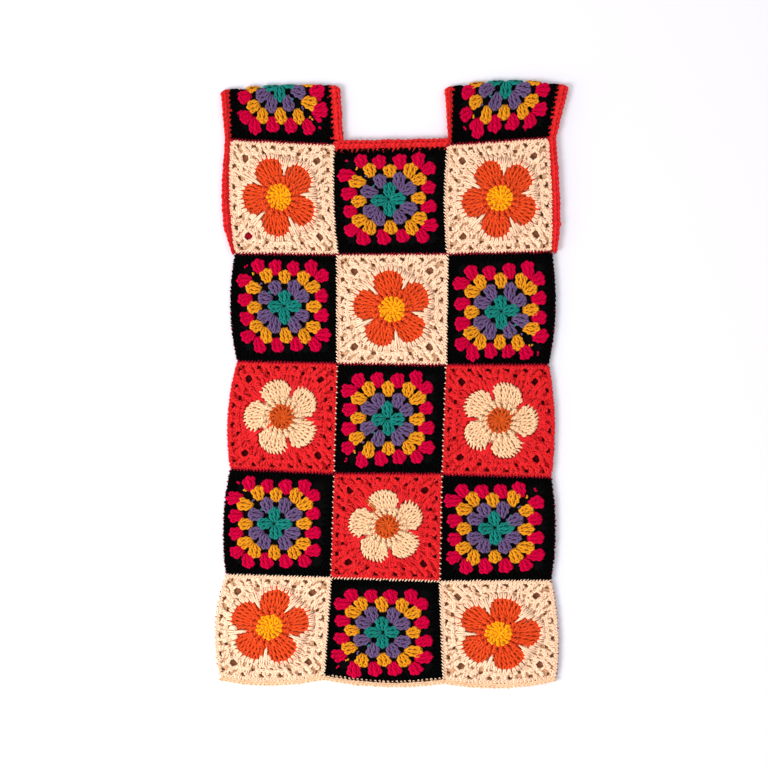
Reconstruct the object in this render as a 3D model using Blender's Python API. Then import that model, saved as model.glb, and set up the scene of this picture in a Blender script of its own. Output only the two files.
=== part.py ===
"""A sleeveless crochet dress laid flat with its front up: squares sewn edge to edge, with crocheted edgings.

The back panel lies on the surface and the front panel lies on it. Two more squares are folded over the
shoulders, from the front panel to the back one. Metres, +Z up, with the origin on the surface under the
middle of the outline.
"""

import math

import bmesh
import bpy
from mathutils import Vector
from mathutils.geometry import delaunay_2d_cdt

MM = 0.001

# The cloth
SQUARE = 140 * MM  # a finished square, edge to edge
WALL = 3.2 * MM  # one layer of double crochet in worsted cotton
GAP = 0.3 * MM  # between two pieces at a seam, and between the front panel and the back one
FRONT_INSIDE = WALL + GAP  # the height of the front panel's inside
FOLD_HEIGHT = WALL + GAP / 2  # the height of the line that the shoulder squares are folded round
EDGE_DROP = 1.0 * MM  # a piece is this much thinner along its edges
DOME = 1.0 * MM  # and its middle stands this much higher
SIDE_STEPS = 4  # straight runs along one side of a square

MIDDLE = (1.1 * MM, 1.0 * MM)  # the middle of the whole outline, measured as the corners below are

# Where the squares' corners meet, as (x, y) in mm: outer left, seam beside the left column,
# seam beside the right column, outer right
SEAM_CORNERS = (
    ((-208.4, 318.0), (-74.2, 311.5), (74.0, 311.4), (204.6, 320.5)),  # under the shoulder squares
    ((-202.9, 170.3), (-69.7, 169.0), (73.3, 169.7), (209.0, 172.9)),  # under the arms
    ((-200.0, 29.9), (-69.7, 27.3), (71.4, 25.4), (205.0, 25.4)),
    ((-209.0, -109.2), (-74.0, -115.7), (66.2, -116.4), (208.0, -120.3)),
    ((-214.5, -247.0), (-78.4, -250.9), (63.6, -255.5), (207.9, -254.8)),
    ((-222.8, -379.0), (-87.2, -377.7), (68.1, -382.9), (214.4, -380.3)),  # above the hem edging
)

# How far the middle of each upright seam lies to the right of a straight line, in mm, a row of squares
# a line: outer left, left seam, right seam, outer right
SEAM_BOWS = (
    (-4.5, -3.5, -3.5, 2.5),
    (-7.4, 0.0, 0.0, 6.8),
    (-7.8, 0.0, 0.0, 6.2),
    (-6.0, 0.0, 0.0, 5.4),
    (-9.8, 0.0, 0.0, 5.5),
)
HEM_SAG = -6.8  # the bottom squares hang this far below a straight line, in mm
NECK_SHARE = (0.955, 0.98)  # the height left to the square under the neckline, at its left and right corners

COLUMNS = ("left", "middle", "right")
MOTIFS = (
    ("cream", "granny", "cream"),
    ("granny", "cream", "granny"),
    ("red", "granny", "red"),
    ("granny", "red", "granny"),
    ("cream", "granny", "cream"),
)

# The direction of the first petal of each flower, in degrees from +X, by row and column
PETAL_TURNS = {
    (0, 0): 42,
    (0, 2): 44,
    (1, 1): 27,
    (2, 0): 34,
    (2, 2): -2,
    (3, 1): 26,
    (4, 0): 12,
    (4, 2): 1,
}

# A flower square
PETALS = 5
PETAL_OUTLINE = ((-30, 33.0), (-19, 45.0), (-6, 48.5), (6, 48.5), (19, 45.0), (30, 33.0))  # degrees, mm
VALLEY_RADIUS = 23 * MM  # where two petals part
PETAL_MIDDLE = 33.0  # mm from the flower's middle
PETAL_TOP_SHARE = 0.82  # the size of a petal's top edge beside its foot
PETAL_TOP_RISE = 1.8 * MM
PETAL_CREST = ((0, 24.0), (-10, 35.0), (10, 35.0))  # degrees, mm
PETAL_RISE = 3.0 * MM
CENTRE_RADIUS = 16.5 * MM
CENTRE_RISE = 2.2 * MM
CORNER_HOLE = 48.5 * MM  # from the square's middle to a corner hole, along X and along Y
CORNER_HOLE_RADIUS = 6 * MM
SIDE_HOLE_OUT = 55 * MM  # from the square's middle to a side hole, across the side
SIDE_HOLE_ALONG = 23 * MM  # and along the side
SIDE_HOLE_RADIUS = 3.6 * MM

# A granny square's rounds, each with a ridge between two grooves:
# outer groove in mm from the middle, how square it is, points round it
GRANNY_ROUNDS = (
    (34.5, 0.45, 12),
    (48.0, 0.75, 16),
    (61.0, 0.92, 16),
)
FIRST_ROUND = 21.5 * MM  # the four clusters round the centre hole
FIRST_CREST = 13 * MM
ROUND_RISE = 1.8 * MM
CENTRE_HOLE_RADIUS = 4 * MM
CLUSTER_GAP = 14 * MM  # from the middle to a gap between two first clusters, along X and along Y
CLUSTER_GAP_RADIUS = 3.4 * MM

# The shoulder squares, folded in half: their corners in mm, bottom ones first, and the crown of the fold
SHOULDERS = {
    "left": {
        "bottom": ((-208.4, 318.0), (-74.2, 311.5)),
        "fold": ((-210.2, 384.2), (-78.8, 389.4)),
        "crown": 2.5,
    },
    "right": {
        "bottom": ((78.5, 311.7), (204.6, 320.5)),
        "fold": ((80.5, 388.1), (217.7, 390.7)),
        "crown": 6.0,
    },
}
FOLD_BAND = 5 * MM  # the cloth on each side of the fold that goes round it
FOLD_CRESTS = [a * MM for a in (-54.5, -41, -28, -13, 0, 13, 28, 41, 54.5)]  # ridges that cross the fold

# Widths of the edgings in mm, at even steps along their edge
ARMHOLE_WIDTHS = {
    "left": {"square": (4.0, 10.5, 10.2, 8.2), "shoulder": (7.2, 9.2, 10.6)},
    "right": {"square": (7.0, 10.0, 10.0, 9.2), "shoulder": (9.4, 11.4, 12.6)},
}
STRAP_EDGING = {
    "left": {"shares": (0.076, 0.53, 1.0), "widths": (11.8, 12.0, 12.0)},
    "right": {"shares": (0.008, 0.11, 0.55, 1.0), "widths": (4.2, 4.4, 7.2, 10.6)},
}
NECK_BAR_TOP = ((-73.9, 316.6), (73.7, 319.7))  # its upper corners, in mm
HEM_WIDTHS = (5.6, 6.6, 6.6, 6.6)  # at the outer corner, beside it, in a square's middle and at a seam, in mm
EDGING_CREST = 0.6 * MM  # the middle of an edging stands this much higher than its wall

COLOURS = {
    "granny": (0.010, 0.009, 0.011),
    "cream": (0.83, 0.62, 0.41),
    "red": (0.77, 0.020, 0.014),
    "edging": (0.80, 0.018, 0.016),
    "hem": (0.87, 0.55, 0.34),
}
YARN_ROUGHNESS = 0.85


def clear_scene():
    for obj in list(bpy.data.objects):
        bpy.data.objects.remove(obj, do_unlink=True)


def yarn_material(name, colour):
    """Matt cotton yarn."""
    material = bpy.data.materials.new(name)
    material.use_nodes = True
    shader = material.node_tree.nodes["Principled BSDF"]
    shader.inputs["Base Color"].default_value = (*COLOURS[colour], 1.0)
    shader.inputs["Roughness"].default_value = YARN_ROUGHNESS
    shader.inputs["Metallic"].default_value = 0.0
    return material


def between(start, end, share):
    return start + (end - start) * share


def patch(bottom, top, left_bow=0.0, right_bow=0.0, bottom_bow=0.0, top_bow=0.0):
    """place(u, v) for the area between two edges in mm, whose sides bow along X and ends along Y."""

    def place(u, v):
        ends = [[between(edge[0][axis], edge[1][axis], u) for axis in (0, 1)] for edge in (bottom, top)]
        x = between(ends[0][0], ends[1][0], v) + 4 * v * (1 - v) * between(left_bow, right_bow, u)
        y = between(ends[0][1], ends[1][1], v) + 4 * u * (1 - u) * between(bottom_bow, top_bow, v)
        return x * MM, y * MM

    return place


def square_place(row, column):
    """Where a square of the panels lies. The one under the neckline stops short of the line above it."""
    bows = SEAM_BOWS[row]
    last = row == len(MOTIFS) - 1
    whole = patch(
        SEAM_CORNERS[row + 1][column : column + 2],
        SEAM_CORNERS[row][column : column + 2],
        bows[column],
        bows[column + 1],
        HEM_SAG if last else 0.0,
    )
    if (row, column) != (0, 1):
        return whole
    return lambda u, v: whole(u, v * between(*NECK_SHARE, u))


def shoulder_place(side):
    """Where half a shoulder square lies, from the seam below it to the line it is folded round."""
    corners = SHOULDERS[side]
    reach = FOLD_HEIGHT / MM
    fold = [(x, y - reach) for x, y in corners["fold"]]
    return patch(corners["bottom"], fold, top_bow=corners["crown"])


def round_fold(x, y, turn, height):
    """A point of the cloth at the fold: turn is -1 at the front panel and 1 at the back one."""
    reach = GAP / 2 + height
    angle = turn * math.pi / 2
    return x, y + reach * math.cos(angle), FOLD_HEIGHT - reach * math.sin(angle)


def across_square(distance):
    """The share of the way across a square's place, which leaves half a gap at each side."""
    return 0.5 + distance / (SQUARE + GAP)


def lay_front(place):
    def lay(a, b, height):
        x, y = place(across_square(a), across_square(b))
        return x, y, FRONT_INSIDE + height

    return lay


def lay_back(place):
    def lay(a, b, height):
        x, y = place(across_square(a), across_square(b))
        return x, y, WALL - height

    return lay


def lay_folded_square(place):
    """b runs from the front seam, up to the fold at 0, and on to the back seam."""

    def lay(a, b, height):
        half = SQUARE / 2 - FOLD_BAND
        beyond = max(0.0, abs(b) - FOLD_BAND)
        x, y = place(across_square(a), 1 - beyond / (half + GAP / 2))
        turn = max(-1.0, min(1.0, b / FOLD_BAND))
        return round_fold(x, y, turn, height)

    return lay


def ring(radius, count, rise, squareness=0.0, turn=0.0, middle=(0.0, 0.0)):
    """Points (a, b, rise) round a circle or, as squareness nears 1, round a square of that half width."""
    points = []
    for step in range(count):
        angle = turn + 2 * math.pi * step / count
        stretch = 1 / max(abs(math.cos(angle)), abs(math.sin(angle)))
        reach = radius * between(1.0, stretch, squareness)
        points.append((middle[0] + reach * math.cos(angle), middle[1] + reach * math.sin(angle), rise))
    return points


def square_outline(rise):
    """The outline of a flat square, anticlockwise, with SIDE_STEPS runs on each side."""
    half = SQUARE / 2
    points = []
    for side in range(4):
        for step in range(SIDE_STEPS):
            along = between(-half, half, step / SIDE_STEPS)
            points.append(((along, -half), (half, along), (-along, half), (-half, -along))[side] + (rise,))
    return points


def flower_holes():
    """Four corner holes and two smaller holes beside each side."""
    holes = []
    for x, y in ((1, 1), (-1, 1), (-1, -1), (1, -1)):
        holes.append(ring(CORNER_HOLE_RADIUS, 4, 0.0, middle=(x * CORNER_HOLE, y * CORNER_HOLE)))
    for side in range(4):
        angle = side * math.pi / 2
        for along in (-SIDE_HOLE_ALONG, SIDE_HOLE_ALONG):
            middle = (
                SIDE_HOLE_OUT * math.cos(angle) - along * math.sin(angle),
                SIDE_HOLE_OUT * math.sin(angle) + along * math.cos(angle),
            )
            holes.append(ring(SIDE_HOLE_RADIUS, 3, 0.0, turn=angle, middle=middle))
    return holes


def polar(points, turn, rise):
    """Points given as degrees and mm from the middle, turned by some degrees."""
    found = []
    for degrees, radius in points:
        angle = math.radians(turn + degrees)
        found.append((radius * MM * math.cos(angle), radius * MM * math.sin(angle), rise))
    return found


def flower_relief(turn):
    """The raised petals and centre: loops of points that stay edges, and loose points."""
    outline, crests = [], []
    for petal in range(PETALS):
        direction = turn + petal * 360 / PETALS
        valley = (180 / PETALS, VALLEY_RADIUS / MM)
        foot = polar(PETAL_OUTLINE, direction, 0.0)
        middle = polar(((0, PETAL_MIDDLE),), direction, 0.0)[0]
        for a, b, _ in foot:
            top = (between(middle[0], a, PETAL_TOP_SHARE), between(middle[1], b, PETAL_TOP_SHARE))
            crests.append((*top, PETAL_TOP_RISE))
        outline += [*foot, *polar((valley,), direction, 0.0)]
        crests += polar(PETAL_CREST, direction, PETAL_RISE)
    centre_edge = ring(CENTRE_RADIUS, 2 * PETALS, 0.4 * PETAL_RISE, turn=math.radians(turn))
    centre_top = ring(CENTRE_RADIUS / 2, PETALS, CENTRE_RISE, turn=math.radians(turn))
    return [outline, centre_edge], [*crests, *centre_top]


def granny_holes():
    """The centre hole, and a gap between each two of the first clusters."""
    holes = [ring(CENTRE_HOLE_RADIUS, 6, 0.6 * ROUND_RISE)]
    for x, y in ((1, 1), (-1, 1), (-1, -1), (1, -1)):
        holes.append(ring(CLUSTER_GAP_RADIUS, 4, 0.0, middle=(x * CLUSTER_GAP, y * CLUSTER_GAP)))
    return holes


def granny_relief():
    """A ridge for each round of clusters, with a groove outside it."""
    loops = []
    inner = FIRST_ROUND
    loose = [*ring(FIRST_CREST, 4, ROUND_RISE), *ring(FIRST_ROUND, 4, 0.0)]
    for outer, squareness, count in GRANNY_ROUNDS:
        crest = (inner + outer * MM) / 2
        loops.append(ring(crest, count, ROUND_RISE, squareness))
        loops.append(ring(outer * MM, count, 0.0, squareness))
        inner = outer * MM
    return loops, loose


def domed(a, b, rise):
    """rise, and the soft dome of the whole square."""
    half = SQUARE / 2
    return rise + DOME * (1 - (a / half) ** 2) * (1 - (b / half) ** 2)


def flat_sheet(outline, holes, loops=(), loose=()):
    """A flat bmesh of triangles in the outline and outside the holes, with each vertex's rise in a layer."""
    points, faces, edges = [], [], []
    for polygon in (outline, *holes):
        first = len(points)
        points += polygon
        faces.append(list(range(first, len(points))))
    for loop in loops:
        first = len(points)
        points += loop
        edges += [(first + i, first + (i + 1) % len(loop)) for i in range(len(loop))]
    points += loose
    flat = [Vector(point[:2]) for point in points]
    inside_faces = 1
    found = delaunay_2d_cdt(flat, edges, faces, inside_faces, 1e-7, True)
    corners, triangles, sources, owners = found[0], found[2], found[3], found[5]
    mesh = bmesh.new()
    rises = mesh.verts.layers.float.new("rise")
    made = []
    for corner, source in zip(corners, sources):
        vertex = mesh.verts.new((*corner, 0.0))
        vertex[rises] = points[source[0]][2]
        made.append(vertex)
    for triangle, owner in zip(triangles, owners):
        if list(owner) == [0]:
            mesh.faces.new([made[i] for i in triangle])
    return mesh


def strip_sheet(lines, plain_from=math.inf):
    """A flat bmesh two faces wide, from 0 to 1 across, with a row of vertices a line, plain from one on."""
    mesh = bmesh.new()
    rises = mesh.verts.layers.float.new("rise")
    rows = len(lines) - 1
    bmesh.ops.create_grid(mesh, x_segments=2, y_segments=rows, size=0.5)
    for vertex in mesh.verts:
        across = vertex.co.x + 0.5
        row = round((vertex.co.y + 0.5) * rows)
        if lines[row] < plain_from:
            vertex[rises] = EDGING_CREST if abs(across - 0.5) < 0.1 else -EDGE_DROP
        vertex.co = (across, lines[row], 0.0)
    return mesh


def solid_from(mesh, name, lay, colour, raised=True):
    """Thickens a flat sheet to the cloth's wall: lay(a, b, height) places a point that far off the inside."""
    rises = mesh.verts.layers.float["rise"]
    moved = bmesh.ops.extrude_face_region(mesh, geom=mesh.faces[:])["geom"]
    outer = {item for item in moved if isinstance(item, bmesh.types.BMVert)}
    for vertex in mesh.verts:
        height = 0.0
        if vertex in outer:
            height = WALL + (vertex[rises] if raised else 0.0)
        x, y, z = lay(vertex.co.x, vertex.co.y, height)
        vertex.co = (x - MIDDLE[0], y - MIDDLE[1], z)
    bmesh.ops.recalc_face_normals(mesh, faces=mesh.faces[:])
    if mesh.calc_volume(signed=True) < 0:
        bmesh.ops.reverse_faces(mesh, faces=mesh.faces[:])
    data = bpy.data.meshes.new(name)
    mesh.to_mesh(data)
    mesh.free()
    data.shade_smooth()
    data.set_sharp_from_angle(angle=math.radians(35))
    data.materials.append(yarn_material(name + "_yarn", colour))
    obj = bpy.data.objects.new(name, data)
    bpy.data.collections["crochet_dress"].objects.link(obj)
    return obj


def square_sheet(motif, turn, raised):
    """One flat square with its holes and, where raised, its rounds or petals."""
    holes = granny_holes() if motif == "granny" else flower_holes()
    if not raised:
        return flat_sheet(square_outline(0.0), holes)
    loops, loose = granny_relief() if motif == "granny" else flower_relief(turn)
    loops = [[(a, b, domed(a, b, rise)) for a, b, rise in loop] for loop in loops]
    loose = [(a, b, domed(a, b, rise)) for a, b, rise in loose]
    holes = [[(a, b, domed(a, b, rise)) for a, b, rise in hole] for hole in holes]
    return flat_sheet(square_outline(-EDGE_DROP), holes, loops, loose)


def make_panels():
    """Fifteen squares in front and fifteen behind them."""
    for row, motifs in enumerate(MOTIFS):
        for column, motif in enumerate(motifs):
            place = square_place(row, column)
            where = f"r{row + 1}_{COLUMNS[column]}"
            turn = PETAL_TURNS.get((row, column), 0)
            solid_from(square_sheet(motif, turn, True), "front_" + where, lay_front(place), motif)
            plain = square_sheet(motif, turn, False)
            solid_from(plain, "back_" + where, lay_back(place), motif, raised=False)


def shoulder_sheet():
    """A granny square whose rounds are raised on its front half and round the fold."""
    front_limit = -FOLD_BAND - 2 * MM
    loops, loose = granny_relief()
    grooves = [outer * MM for outer, _, _ in GRANNY_ROUNDS]
    kept = [point for loop in loops for point in loop if point[1] < front_limit]
    kept += [point for point in loose if point[1] < front_limit]
    for line in (-FOLD_BAND, 0.0):
        kept += [(a, line, ROUND_RISE) for a in FOLD_CRESTS]
        kept += [(side * groove, line, 0.0) for groove in grooves for side in (-1, 1)]
    kept += [(a, FOLD_BAND, 0.0) for a in FOLD_CRESTS[::2]]
    outline = [(a, b, -EDGE_DROP if b < FOLD_BAND else 0.0) for a, b, _ in square_outline(0.0)]
    return flat_sheet(outline, granny_holes()[1:], (), kept)


def make_shoulders():
    for side in SHOULDERS:
        place = shoulder_place(side)
        solid_from(shoulder_sheet(), "shoulder_" + side, lay_folded_square(place), "granny")


def strip_place(inner, outer):
    """place(across, along) between two rows of points in metres, where along counts the points."""

    def place(across, along):
        first = min(int(along), len(inner) - 2)
        share = along - first
        ends = []
        for line in (inner, outer):
            ends.append([between(line[first][axis], line[first + 1][axis], share) for axis in (0, 1)])
        return between(ends[0][0], ends[1][0], across), between(ends[0][1], ends[1][1], across)

    return place


def make_folded_strip(name, inner, outer):
    """An edging that runs up the front, round the fold at its last point, and down the back."""
    place = strip_place(inner, outer)
    last = len(inner) - 1
    flat_lines = [-1 - last + step for step in range(last + 1)]
    lines = [*flat_lines, -0.5, 0, 0.5, *[-line for line in reversed(flat_lines)]]

    def lay(across, line, height):
        x, y = place(across, last - max(0.0, abs(line) - 1))
        return round_fold(x, y, max(-1.0, min(1.0, line)), height)

    solid_from(strip_sheet(lines, plain_from=0.5), name, lay, "edging")


def make_flat_strips(name, inner, outer, colour):
    """An edging that lies flat, once beside the front panel and once beside the back one."""
    place = strip_place(inner, outer)
    lines = list(range(len(inner)))

    def lay_in_front(across, along, height):
        return (*place(across, along), FRONT_INSIDE + height)

    def lay_behind(across, along, height):
        return (*place(across, along), WALL - height)

    solid_from(strip_sheet(lines), name + "_front", lay_in_front, colour)
    solid_from(strip_sheet(lines), name + "_back", lay_behind, colour, raised=False)


def beside(points, widths, sign):
    """The edges of an edging: half a gap off the given points in metres, and the widths in mm beyond it."""
    inner = [(x + sign * GAP / 2, y) for x, y in points]
    outer = [(x + sign * width * MM, y) for (x, y), width in zip(inner, widths)]
    return inner, outer


def make_armhole_edgings():
    for side, column, edge, sign in (("left", 0, 0.0, -1), ("right", 2, 1.0, 1)):
        square = square_place(0, column)
        shoulder = shoulder_place(side)
        widths = ARMHOLE_WIDTHS[side]
        along_square = [square(edge, step / SIDE_STEPS) for step in range(SIDE_STEPS)]
        steps = len(widths["shoulder"]) - 1
        along_shoulder = [shoulder(edge, step / steps) for step in range(steps + 1)]
        inner, outer = beside([*along_square, *along_shoulder], widths["square"] + widths["shoulder"], sign)
        make_folded_strip("armhole_edging_" + side, inner, outer)


def make_neck_edgings():
    for side, edge, sign in (("left", 1.0, 1), ("right", 0.0, -1)):
        shoulder = shoulder_place(side)
        sizes = STRAP_EDGING[side]
        inner, outer = beside([shoulder(edge, share) for share in sizes["shares"]], sizes["widths"], sign)
        make_folded_strip("neck_edging_" + side, inner, outer)
    square = square_place(0, 1)
    inner, outer = [], []
    for step in range(SIDE_STEPS + 1):
        share = step / SIDE_STEPS
        x, y = square(between(GAP / SQUARE, 1 - GAP / SQUARE, share), 1.0)
        inner.append((x, y + GAP / 2))
        top = [between(NECK_BAR_TOP[0][axis], NECK_BAR_TOP[1][axis], share) * MM for axis in (0, 1)]
        outer.append(tuple(top))
    make_flat_strips("neck_edging", inner, outer, "edging")


def make_hem_edging():
    inner, outer = [], []
    for column in range(len(COLUMNS)):
        square = square_place(len(MOTIFS) - 1, column)
        first = 0 if column == 0 else 1
        for step in range(first, SIDE_STEPS + 1):
            x, y = square(step / SIDE_STEPS, 0.0)
            inner.append((x, y - GAP / 2))
    for index, (x, y) in enumerate(inner):
        from_end = min(index, len(inner) - 1 - index)
        width = HEM_WIDTHS[min(from_end, len(HEM_WIDTHS) - 1)]
        outer.append((x, y - width * MM))
    make_flat_strips("hem_edging", inner, outer, "hem")


def main():
    clear_scene()
    parts = bpy.data.collections.new("crochet_dress")
    bpy.context.scene.collection.children.link(parts)
    make_panels()
    make_shoulders()
    make_armhole_edgings()
    make_neck_edgings()
    make_hem_edging()


main()
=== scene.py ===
# %% [markdown]
# # A crochet dress of squares, laid flat
# The real dress is made of thirty-two crocheted squares of worsted cotton. Fifteen make the front
# panel, fifteen the back one, and two are folded in half over the shoulders. Whip stitches sew them
# edge to edge, and crocheted edgings finish the armholes, the neckline and the hem.
# The dress could be a printed surface with bump, but crochet is deep: its yarns stand over each other
# and throw small shadows. So each stitch here is a tube that follows the yarn's own path.

import math

import bpy
import numpy as np
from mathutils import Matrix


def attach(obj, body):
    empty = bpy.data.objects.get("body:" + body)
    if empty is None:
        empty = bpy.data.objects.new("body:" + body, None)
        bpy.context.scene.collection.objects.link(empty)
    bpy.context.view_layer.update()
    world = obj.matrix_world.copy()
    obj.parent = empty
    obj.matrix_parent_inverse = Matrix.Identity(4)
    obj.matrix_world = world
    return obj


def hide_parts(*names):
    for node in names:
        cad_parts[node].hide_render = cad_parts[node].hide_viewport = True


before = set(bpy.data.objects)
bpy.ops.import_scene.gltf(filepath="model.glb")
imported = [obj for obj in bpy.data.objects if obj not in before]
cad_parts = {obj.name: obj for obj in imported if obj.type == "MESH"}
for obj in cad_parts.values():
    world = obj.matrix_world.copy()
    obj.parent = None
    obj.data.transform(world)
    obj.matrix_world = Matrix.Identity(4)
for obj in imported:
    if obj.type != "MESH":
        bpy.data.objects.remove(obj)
for startup in ("Cube", "Light", "Camera"):
    if startup in bpy.data.objects:
        bpy.data.objects.remove(bpy.data.objects[startup], do_unlink=True)
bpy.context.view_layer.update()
print("packed nodes:", len(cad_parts))

# %% [markdown]
# ## Where the squares lie
# On the real dress each square is a little stretched by its neighbours. Four corner points and a
# gentle bow on its sides describe one square well, and neighbours share them, so the seams meet.
# Lengths are in millimetres until a mesh is made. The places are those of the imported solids.

# %% Sizes of the cloth
SQUARE = 140.0  # a finished square, edge to edge
GAP = 0.3  # between two pieces at a seam, and between the two panels
WALL = 3.2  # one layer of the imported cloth
FRONT_INSIDE = WALL + GAP  # the height of the front panel's inside
FOLD_HEIGHT = WALL + GAP / 2  # the height of the line that the shoulder squares are folded round
FOLD_PRESS = 0.3  # stitches that stand over the cloth are pressed down to this share at the fold
FOLD_BAND = 5.0  # the cloth on each side of the fold that goes round it
DOME = 1.0  # the middle of a front square stands this much higher than its edges
LOWEST = 0.02  # yarn pressed on the table stops this far over it
MIDDLE = np.array([1.1, 1.0])  # the middle of the whole outline, measured as the corners are

# %% Corners and bows
# The squares' corners, a row from the left side to the right one, from the shoulder seams down
SEAM_CORNERS = np.array([
    [(-208.4, 318.0), (-74.2, 311.5), (74.0, 311.4), (204.6, 320.5)],
    [(-202.9, 170.3), (-69.7, 169.0), (73.3, 169.7), (209.0, 172.9)],
    [(-200.0, 29.9), (-69.7, 27.3), (71.4, 25.4), (205.0, 25.4)],
    [(-209.0, -109.2), (-74.0, -115.7), (66.2, -116.4), (208.0, -120.3)],
    [(-214.5, -247.0), (-78.4, -250.9), (63.6, -255.5), (207.9, -254.8)],
    [(-222.8, -379.0), (-87.2, -377.7), (68.1, -382.9), (214.4, -380.3)],
])
# How far the middle of each upright seam lies to the right of a straight line, a row of squares a line
SEAM_BOWS = (
    (-4.5, -3.5, -3.5, 2.5),
    (-7.4, 0.0, 0.0, 6.8),
    (-7.8, 0.0, 0.0, 6.2),
    (-6.0, 0.0, 0.0, 5.4),
    (-9.8, 0.0, 0.0, 5.5),
)
HEM_SAG = -6.8
NECK_SHARE = (0.955, 0.98)  # the height left to the square under the neckline, left and right
COLUMNS = ("left", "middle", "right")
MOTIFS = (
    ("cream", "granny", "cream"),
    ("granny", "cream", "granny"),
    ("red", "granny", "red"),
    ("granny", "red", "granny"),
    ("cream", "granny", "cream"),
)
# The shoulder squares, folded in half: bottom corners, corners at the fold, and the fold's crown
SHOULDERS = {
    "left": (((-208.4, 318.0), (-74.2, 311.5)), ((-210.2, 384.2), (-78.8, 389.4)), 2.5),
    "right": (((78.5, 311.7), (204.6, 320.5)), ((80.5, 388.1), (217.7, 390.7)), 6.0),
}


# %% Places on the cloth
def between(start, end, share):
    """start at share 0 and end at share 1, in a straight line."""
    return start + (end - start) * share


def patch(bottom, top, left_bow=0.0, right_bow=0.0, bottom_bow=0.0, top_bow=0.0):
    """place(u, v) for the area between two edges.

    A point is v of the way from the bottom edge to the top one, each taken u along it. The sides bow
    along X by 4v(1 - v) times their bow, and the ends along Y by 4u(1 - u) times theirs.
    """
    bottom, top = np.array(bottom), np.array(top)

    def place(u, v):
        u, v = np.broadcast_arrays(np.asarray(u, float), np.asarray(v, float))
        low, high = between(*bottom, u[..., None]), between(*top, u[..., None])
        point = between(low, high, v[..., None])
        point[..., 0] += 4 * v * (1 - v) * between(left_bow, right_bow, u)
        point[..., 1] += 4 * u * (1 - u) * between(bottom_bow, top_bow, v)
        return point - MIDDLE

    return place


def square_place(row, column):
    """Where a square of the panels lies. The one under the neckline stops short of its top line."""
    sag = HEM_SAG if row == len(MOTIFS) - 1 else 0.0
    sides = slice(column, column + 2)
    whole = patch(SEAM_CORNERS[row + 1, sides], SEAM_CORNERS[row, sides], *SEAM_BOWS[row][sides], sag)
    if (row, column) != (0, 1):
        return whole
    return lambda u, v: whole(u, v * between(*NECK_SHARE, np.asarray(u)))


def shoulder_place(side):
    """Where half a shoulder square lies, from the seam below it to the line it is folded round."""
    bottom, fold, crown = SHOULDERS[side]
    return patch(bottom, np.array(fold) - (0.0, FOLD_HEIGHT), top_bow=crown)


# %% [markdown]
# ## How the cloth lies in height
# The back panel lies on the table with its outside down, and the front panel lies on it. Crochet is
# soft, so the front isn't level: each square swells a little between its seams, and low soft ridges
# run where the cloth has been pushed together. A sum of smooth bumps gives that, and one function
# then lays any point of a square, whose own coordinates are across, up and off the cloth.

# %% Heights
# Soft ridges of the front: x, y, direction in degrees, half length, half width, height
RIDGES = (
    (-196.0, 205.0, 68.0, 60.0, 16.0, 1.8), (196.0, 250.0, 95.0, 70.0, 14.0, 1.5),
    (-120.0, 345.0, 12.0, 45.0, 12.0, 1.2), (150.0, 352.0, -8.0, 50.0, 13.0, 1.5),
    (-60.0, 100.0, 35.0, 80.0, 22.0, 1.1), (120.0, 15.0, -25.0, 70.0, 20.0, 1.3),
    (-170.0, -60.0, 80.0, 65.0, 18.0, 1.4), (40.0, -190.0, 60.0, 75.0, 24.0, 1.0),
    (190.0, -180.0, 88.0, 80.0, 16.0, 1.6), (-150.0, -330.0, 10.0, 70.0, 20.0, 1.6),
    (100.0, -345.0, -6.0, 80.0, 18.0, 1.4),
)


def ridges(x, y):
    """The height of the soft ridges: each is exp(-(along / half length)^2 - (across / half width)^2)."""
    total = np.zeros_like(x)
    for place_x, place_y, degrees, length, width, height in RIDGES:
        turn = math.radians(degrees)
        along = (x - place_x) * math.cos(turn) + (y - place_y) * math.sin(turn)
        across = (y - place_y) * math.cos(turn) - (x - place_x) * math.sin(turn)
        total += height * np.exp(-((along / length) ** 2) - (across / width) ** 2)
    return total


def on_front(flat, height):
    """Flat points at a height off the front panel's inside, over the soft ridges."""
    z = FRONT_INSIDE + height + ridges(flat[..., 0], flat[..., 1])
    return np.concatenate([flat, z[..., None]], axis=-1)


def on_back(flat, height):
    """Flat points at a height off the back panel's inside, whose outside the table flattens."""
    return np.concatenate([flat, np.maximum(WALL - height, LOWEST)[..., None]], axis=-1)


def share_of(distance):
    """The share of the way across a square's place, which leaves half a gap at each side."""
    return 0.5 + distance / (SQUARE + GAP)


def swell(local):
    """The dome of a square: (1 - a^2)(1 - b^2), with a and b from -1 to 1 between its edges."""
    reach = np.clip(local[..., :2] / (SQUARE / 2), -1, 1)
    return DOME * np.prod(1 - reach**2, axis=-1)


def lay_square(place, in_front):
    """lay(local) for the points of a square of a panel."""

    def lay(local):
        flat = place(share_of(local[..., 0]), share_of(local[..., 1]))
        return on_front(flat, local[..., 2] + swell(local)) if in_front else on_back(flat, local[..., 2])

    return lay


def lay_folded(flat_point, reach_of_fold):
    """lay(local) for cloth that goes up the front, round the shoulder fold at b = 0, and down the back.

    Beyond the band at the fold a point lies flat. Inside the band it goes round a half circle, whose
    radius is half a gap plus the point's height off the cloth's inside.
    """

    def lay(local):
        a, b, height = local[..., 0], local[..., 1], local[..., 2]
        beyond = np.maximum(0.0, np.abs(b) - FOLD_BAND)
        flat = flat_point(a, 1 - beyond / reach_of_fold)
        angle = np.clip(b / FOLD_BAND, -1, 1) * math.pi / 2
        reach = GAP / 2 + height
        front = np.clip(-b / FOLD_BAND, 0, 1)
        x = flat[..., 0]
        y = flat[..., 1] + np.minimum(reach, WALL + (reach - WALL) * FOLD_PRESS) * np.cos(angle)
        z = FOLD_HEIGHT - reach * np.sin(angle) + front * ridges(x, y)
        return np.stack([x, y, np.maximum(z, LOWEST)], axis=-1)

    return lay


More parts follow.
